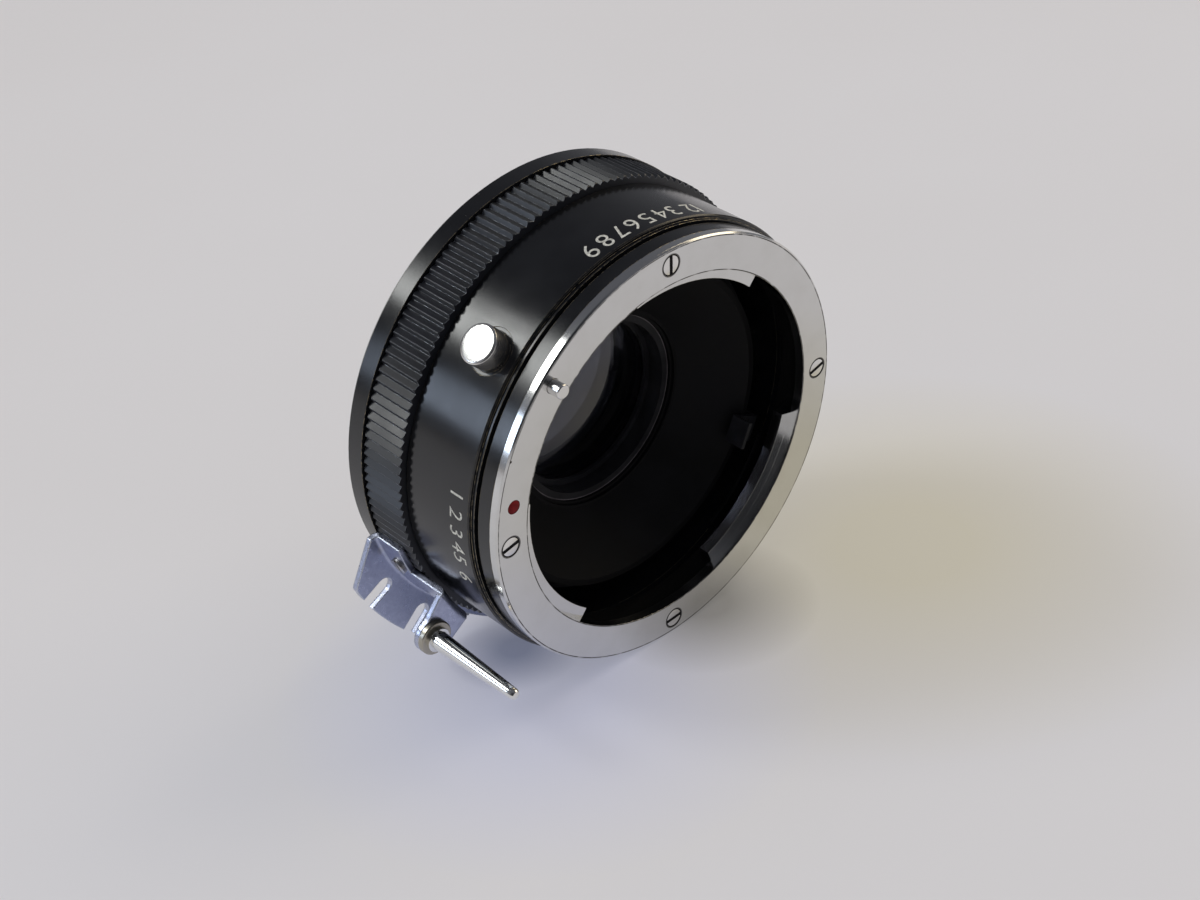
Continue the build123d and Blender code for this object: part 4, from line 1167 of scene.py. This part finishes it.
@dataclass
class ReleaseButton(Part):
    """The release button, its guide, and the lock pin that it draws back.

    Attributes:
        cap_profile: the polished cap, (radius, height above the optical axis).
        spring_foot: the depth of the lock spring's fixed end; not used.
    """

    angle: float = 135.2
    depth: float = 8.1
    cap_profile: Profile = ((0.0, 31.542), (1.3, 31.534), (2.142, 31.512), (2.242, 31.497),
                            (2.3795, 31.422), (2.467, 31.362), (2.492, 31.262), (2.492, 28.0))
    cap_steps: int = 96
    spring_foot: float = 16.9
    pin_travel: float = 1.6

    def spring(self) -> None:
        """Make the lock spring as a piece with a mesh of its own. The real spring is squashed as
        its slide draws back.
        """
        spring = self.finished(Shape.of_node("lock_spring"), "lock_spring_coils", Body.FIXED,
                               self.shop.steel, ("lock_spring",))
        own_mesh(spring)

    def build(self) -> None:
        """Make and dress the button's pieces."""
        shop = self.shop
        self.rack.dress(shop.brushed, "release_button", "lock_pin")
        self.rack.dress(shop.enamel, "button_guide")
        self.rack.dress(shop.steel, "lock_slide")
        self.spring()
        cap = Shape.turned(self.cap_profile, self.angle, self.depth, outwards=True,
                           steps=self.cap_steps)
        self.finished(cap, "button_cap", Body.BUTTON, shop.brushed)
        self.report("release button")


@dataclass
class CouplingRing(Part):
    """The fluted ring, its bracket and the coupling pin.

    Attributes:
        pin_tip: the rounded tip, (radius, depth).
        pin_taper: the first and last point of the taper.
        pin_tail: the shoulder, the tail in the bracket and its riveted end.
        leg_draw: two points of (distance from the axis, angle), between which the
            leg's free side is drawn out until it is flush with the bridge.
        leg_margin: how far the leg's free side starts from its middle, in degrees.
    """

    pin_angle: float = 209.6
    pin_circle: float = 34.85
    pin_tip: Profile = ((0.0, -4.5), (0.3, -4.47), (0.52, -4.37), (0.67, -4.15),
                        (0.735, -3.8))
    pin_taper: Profile = ((0.76, -3.3), (1.22, 9.55))
    pin_tail: Profile = ((1.56, 9.58), (1.6, 9.65), (1.6, 10.05), (0.95, 10.06),
                         (0.95, 11.6), (1.4, 11.62), (1.36, 11.8), (1.1, 11.93),
                         (0.0, 11.95))
    pin_rings: int = 16
    pin_steps: int = 56
    pin_smooth: float = 28.0
    leg_rear: float = 11.65
    leg_draw: Profile = ((30.78, 203.2), (34.2, 205.7))
    leg_margin: float = 2.6
    leg_slack: float = 0.02
    leg_cuts: int = 8
    sheet_merge: float = 0.002
    sheet_smooth: float = 30.0

    def pin(self) -> bmesh.types.BMesh:
        """The tapered, polished pin with its rounded tip and riveted tail.

        Returns:
            The pin's shape.
        """
        (thin, front), (thick, root) = self.pin_taper
        shares = (step / self.pin_rings for step in range(self.pin_rings + 1))
        taper = tuple((thin + (thick - thin) * share, front + (root - front) * share)
                      for share in shares)
        return Shape.turned((*self.pin_tip, *taper, *self.pin_tail), self.pin_angle,
                            self.pin_circle, steps=self.pin_steps)

    def sheet(self) -> bmesh.types.BMesh:
        """The bracket's bent sheet, its leg flush with the bridge at the bend.

        Returns:
            The sheet's shape.
        """
        mesh = Shape.of_node("coupling_bracket", self.sheet_merge * MM)
        out = direction(self.pin_angle)
        (low, wide), (high, narrow) = self.leg_draw
        for step in range(self.leg_cuts + 1):
            Shape.cut(mesh, out, low + (high - low) * step / self.leg_cuts)
        for vert in mesh.verts:
            place = vert.co.dot(out) / MM
            angle = math.degrees(math.atan2(vert.co.z, vert.co.x)) % 360.0
            if vert.co.y > self.leg_rear * MM or angle > self.pin_angle - self.leg_margin:
                continue
            if low - self.leg_slack < place < high:
                share = 1.0 - (place - low) / (high - low)
                vert.co.rotate(Matrix.Rotation(math.radians((narrow - wide) * share), 3, "Y"))
        bmesh.ops.recalc_face_normals(mesh, faces=mesh.faces)
        return mesh

    def build(self) -> None:
        """Make and dress the ring's pieces."""
        shop = self.shop
        self.rack.dress(shop.flutes, "coupling_ring")
        self.finished(self.sheet(), "bracket_sheet", Body.COUPLING, shop.zinc,
                      ("coupling_bracket",), self.sheet_smooth)
        self.rack.dress(shop.nickel, "pin_collar")
        self.rack.dress(shop.steel, "bracket_screws", "stop_screw")
        self.finished(self.pin(), "coupling_pin_polished", Body.COUPLING, shop.pin,
                      ("coupling_pin",), self.pin_smooth)
        self.report("coupling ring")


@dataclass
class RearMount(Part):
    """The camera-side bayonet with its screws and light mask."""

    def build(self) -> None:
        """Dress the rear mount's pieces."""
        shop = self.shop
        self.rack.dress(shop.seat, "rear_bayonet")
        self.rack.dress(shop.bright, "rear_screws")
        self.rack.dress(shop.matt, "rear_mask")
        self.report("rear mount")


@dataclass
class Optics(Part):
    """The baffle, the lens cell and its elements, and the aperture coupling.

    Attributes:
        elements: each element's front and rear rim depths, and the sags of its faces.
    """

    clear_radius: float = 11.0
    glass_radius: float = 12.5
    elements: tuple[tuple[float, float, float, float], ...] = (
        (16.4, 18.0, -1.5, -0.8), (19.2, 21.0, 0.4, -0.5),
        (22.0, 24.0, -0.8, 1.0), (25.2, 27.0, 0.6, 0.5))
    face_rings: int = 24
    glass_steps: int = 96
    glass_smooth: float = 30.0

    def face(self, edge: float, sag: float) -> list[Pair]:
        """Profile points of one spherical face.

        Args:
            edge: the depth of the face's rim.
            sag: how far its middle stands behind its rim.

        Returns:
            Points of (radius, depth) from the middle outwards.
        """
        curve = (self.clear_radius ** 2 + sag ** 2) / (2 * abs(sag))
        points = []
        for step in range(self.face_rings + 1):
            radius = self.clear_radius * step / self.face_rings
            rise = math.sqrt(curve ** 2 - radius ** 2) - (curve - abs(sag))
            points.append((radius, edge + math.copysign(rise, sag)))
        return points

    def element(self, front: float, rear: float, front_sag: float,
                rear_sag: float) -> bmesh.types.BMesh:
        """One ground element, turned about the optical axis.

        Args:
            front: the depth of its front rim.
            rear: the depth of its rear rim.
            front_sag: how far the middle of its front stands behind that rim.
            rear_sag: the same of its rear.

        Returns:
            The element's shape.
        """
        profile = (*self.face(front, front_sag), (self.glass_radius, front),
                   (self.glass_radius, rear), *reversed(self.face(rear, rear_sag)))
        return Shape.turned(profile, 0.0, 0.0, steps=self.glass_steps)

    def build(self) -> None:
        """Make the elements and dress the optics."""
        shop = self.shop
        self.rack.dress(shop.matt, "front_baffle", "rear_retainer", "ring_keeper")
        self.rack.dress(shop.cell, "lens_cell", "spacer_1", "spacer_2", "spacer_3")
        self.rack.dress(shop.dull, "aperture_ring", "front_retainer")
        self.rack.dress(shop.steel, "aperture_spring", "spring_post", "cell_screws")
        for place, sizes in enumerate(self.elements, 1):
            self.finished(self.element(*sizes), f"lens_element_{place}", Body.FIXED, shop.glass,
                          (f"lens_{place}",), self.glass_smooth)
        self.report("optics")


@dataclass(frozen=True)
class Table:
    """The pale table, which leans as the part does between its ring and its flange.

    Attributes:
        rear: depth and height where the coupling ring rests, in millimetres.
        front: the same where the flange rests.
        gap: the air under the part, in millimetres.
        reach: the table's half width, in metres.
        lift: the light that the camera and mirrors see in the table's shadows.
        lift_share: how much of it they see.
        far: the table's colour and light at its far end, darker and warmer as painted shade.
        far_span: where that begins and is full, in metres along the far direction.
        tints: spots of coloured light and shade, as X, Y and radius in metres, and colour.
    """

    rear: Pair = (24.6, -30.2)
    front: Pair = (0.2, -28.2)
    gap: float = 0.04
    reach: float = 3.0
    cloud_noise: Noise = Noise(7.0, 3.0, 0.5)
    cloud_span: Pair = (0.35, 0.65)
    colour: Colour = (0.73, 0.71, 0.70)
    cloud_colour: Colour = (0.76, 0.745, 0.745)
    grain_noise: Noise = Noise(900.0, 3.0, 0.5)
    gloss_span: Pair = (0.3, 0.7)
    gloss: Pair = (0.45, 0.6)
    index: float = 1.4
    bump: Pair = (0.02, 0.2)
    crumbs: Spots = Spots(17.0, 0.016, 0.3)
    crumb_colour: Colour = (0.08, 0.07, 0.06)
    crumb_light: Colour = (0.1, 0.09, 0.08)
    lift: Colour = (0.73, 0.715, 0.73)
    lift_share: float = 0.4
    far: Colour = (0.56, 0.51, 0.46)
    far_span: Pair = (0.1, 0.9)
    far_share: Pair = (0.0, 0.85)
    # Painted light and shade: a warm pool of light by the flange, a bluish shade on the left,
    # and two dark spots of painted contact shadow under the part.
    tints: tuple[tuple[float, float, float, Colour], ...] = (
        (0.034, -0.010, 0.045, (0.67, 0.61, 0.40)), (-0.018, 0.004, 0.035, (0.61, 0.64, 0.85)),
        (0.007, 0.001, 0.015, (0.10, 0.09, 0.06)), (-0.016, 0.013, 0.009, (0.09, 0.13, 0.26)))
    tint_core: float = 0.2
    tint_share: Pair = (0.0, 0.6)

    def tinted(self, graph: Graph, *shades: object) -> list[Socket]:
        """Colours with the far end's painted shade and the spots of painted light and shade.

        Args:
            graph: the table's node tree.
            shades: the colours.

        Returns:
            The tinted colours.
        """
        east, north, _ = graph.parts()
        away = graph.scaled(graph.maths("SUBTRACT", north, east), self.far_span,
                            self.far_share)
        shades = [graph.blended(away, shade, self.far) for shade in shades]
        for x, y, reach, tint in self.tints:
            off = graph.length(graph.maths("SUBTRACT", east, x),
                               graph.maths("SUBTRACT", north, y))
            near = graph.scaled(off, (reach, self.tint_core * reach), self.tint_share)
            shades = [graph.blended(near, shade, tint) for shade in shades]
        return shades

    def finish(self) -> bpy.types.Material:
        """Make the table's material, with a faint mottle and soft shadows.

        Returns:
            The finished material.
        """
        graph = Graph.material("pale_table")
        cloud = graph.noise(self.cloud_noise)
        grain = graph.noise(self.grain_noise)
        plain = graph.blended(graph.scaled(cloud, self.cloud_span), self.colour,
                              self.cloud_colour)
        colour, light = self.tinted(graph, plain, self.lift)
        crumbs = graph.spots(self.crumbs)
        graph.surface(Base_Color=graph.blended(crumbs, colour, self.crumb_colour),
                      Roughness=graph.scaled(grain, self.gloss_span, self.gloss),
                      IOR=self.index, Normal=graph.bumped(grain, self.bump))
        glow = graph.add("ShaderNodeEmission")
        graph.feed(glow.inputs["Color"], graph.blended(crumbs, light, self.crumb_light))
        rays = graph.add("ShaderNodeLightPath").outputs
        seen = graph.maths("MAXIMUM", rays["Is Camera Ray"], rays["Is Glossy Ray"])
        end = graph.output.inputs["Surface"]
        both = graph.add("ShaderNodeMixShader")
        for socket, value in zip(both.inputs, (graph.product(seen, self.lift_share),
                                               end.links[0].from_socket, glow.outputs[0])):
            graph.feed(socket, value)
        graph.feed(end, both.outputs[0])
        return graph.holder

    def build(self) -> None:
        """Lay the table under the part."""
        (rear_y, rear_z), (front_y, front_z) = self.rear, self.front
        lean = math.atan2(front_z - rear_z, rear_y - front_y)
        mesh = bmesh.new()
        bmesh.ops.create_grid(mesh, x_segments=2, y_segments=2, size=self.reach)
        bmesh.ops.rotate(mesh, cent=(0, 0, 0), matrix=Matrix.Rotation(-lean, 3, "X"),
                         verts=mesh.verts)
        bmesh.ops.translate(mesh, verts=mesh.verts, vec=(
            0.0, rear_y * MM, (rear_z - self.gap) * MM))
        data = bpy.data.meshes.new("table")
        mesh.to_mesh(data)
        mesh.free()
        table = linked("table", data)
        data.materials.append(self.finish())


@dataclass(frozen=True)
class SoftLamp:
    """A square soft lamp that looks at the part, in metres and watts."""

    name: str
    place: tuple[float, float, float]
    width: float
    power: float
    colour: Colour

    def build(self) -> None:
        """Hang the lamp."""
        data = bpy.data.lights.new(self.name, "AREA")
        data.shape = "RECTANGLE"
        data.size = data.size_y = self.width
        data.energy = self.power
        data.color = self.colour
        lamp = linked(self.name, data)
        lamp.location = self.place
        lamp.rotation_mode = "QUATERNION"
        lamp.rotation_quaternion = Vector(self.place).to_track_quat("Z", "Y")


@dataclass(frozen=True)
class Studio:
    """Soft light, a pale room and the camera at the photograph's viewing angle.

    Attributes:
        horizon: the room's colour at the height of the part.
        ceiling: its colour from ceiling_height up.
        room_strength: the room's light on matt surfaces.
        dark_side: the direction in which mirrors see the dark part of the room.
        dark_span: how nearly a reflection points there where the dark begins and is full.
        mirror_share: the light and the dark part's strength, as mirrors see them.
        focal_length: the lens's, in millimetres, for a sensor sensor_width wide.
        azimuth: the camera's turn about the part, in radians, as are the next two.
        distance: how far the camera stands back, in metres, as are its shifts and clip.
    """

    horizon: Colour = (0.60, 0.61, 0.66)
    ceiling: Colour = (0.33, 0.34, 0.39)
    ceiling_height: float = 0.75
    room_strength: float = 1.1
    dark_side: tuple[float, float, float] = (-0.62, -0.74, 0.26)
    dark_span: Pair = (0.45, 0.85)
    mirror_share: Pair = (0.34, 0.08)
    lamps: tuple[SoftLamp, ...] = (
        SoftLamp("window_high", (-0.46, 0.55, 0.57), 0.27, 1.9, (0.98, 1.0, 0.98)),
        SoftLamp("window_low", (-0.86, 0.64, 0.22), 0.27, 0.95, (0.68, 0.80, 1.0)),
        SoftLamp("lamp_warm", (1.05, -0.12, 0.76), 0.9, 5.6, (1.0, 0.86, 0.62)),
    )
    focal_length: float = 61.4648
    sensor_width: float = 36.0
    azimuth: float = -0.7382708
    elevation: float = 0.6175854
    roll: float = -0.0326697
    shift_right: float = 0.00879592
    shift_down: float = 0.00027667
    distance: float = 0.24782062
    clip: Pair = (0.01, 20.0)

    def light(self) -> None:
        """Set the room and hang the lamps."""
        world = bpy.data.worlds.new("pale_room")
        graph = Graph(world, "ShaderNodeOutputWorld", "Generated")
        _, _, up = graph.parts()
        height = graph.scaled(up, (0.0, self.ceiling_height), shape="SMOOTHSTEP")
        towards = graph.dot(graph.place, Vector(self.dark_side).normalized())
        dim = graph.scaled(towards, self.dark_span, self.mirror_share, "SMOOTHSTEP")
        choose = graph.add("ShaderNodeMix")
        rays = graph.add("ShaderNodeLightPath").outputs
        for name, value in (("Factor", rays["Is Glossy Ray"]), ("A", self.room_strength),
                            ("B", dim)):
            graph.feed(choose.inputs[name], value)
        room = graph.add("ShaderNodeBackground")
        graph.feed(room.inputs["Color"], graph.blended(height, self.horizon, self.ceiling))
        graph.feed(room.inputs["Strength"], choose.outputs["Result"])
        graph.feed(graph.output.inputs["Surface"], room.outputs[0])
        bpy.context.scene.world = world
        for lamp in self.lamps:
            lamp.build()

    def camera(self) -> None:
        """Place the camera at the photograph's viewing angle."""
        turn, rise = self.azimuth, self.elevation
        back = Vector((math.sin(turn) * math.cos(rise), -math.cos(turn) * math.cos(rise),
                       math.sin(rise)))
        right = Vector((math.cos(turn), math.sin(turn), 0.0))
        up = back.cross(right)
        roll = Matrix.Rotation(self.roll, 3, back)
        right, up = roll @ right, roll @ up
        data = bpy.data.cameras.new("camera")
        data.lens = self.focal_length
        data.sensor_width = self.sensor_width
        data.clip_start, data.clip_end = self.clip
        camera = linked("camera", data)
        camera.matrix_world = placing(
            right, up, back,
            back * self.distance + up * self.shift_down - right * self.shift_right)
        bpy.context.scene.camera = camera

    def build(self) -> None:
        """Set up the light, the table and the camera."""
        bpy.context.scene.view_settings.view_transform = "Standard"
        Table().build()
        self.light()
        self.camera()


def main() -> None:
    """Build the studio and every sub-assembly in order."""
    logging.basicConfig(level=logging.INFO, format="%(name)s: %(message)s")
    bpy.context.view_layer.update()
    Studio().build()
    rack, shop = FinishRack(), Workshop()
    for kind in (FrontFlange, Barrel, ReleaseButton, CouplingRing, RearMount, Optics):
        kind(rack, shop).build()


if __name__ == "__main__":
    main()
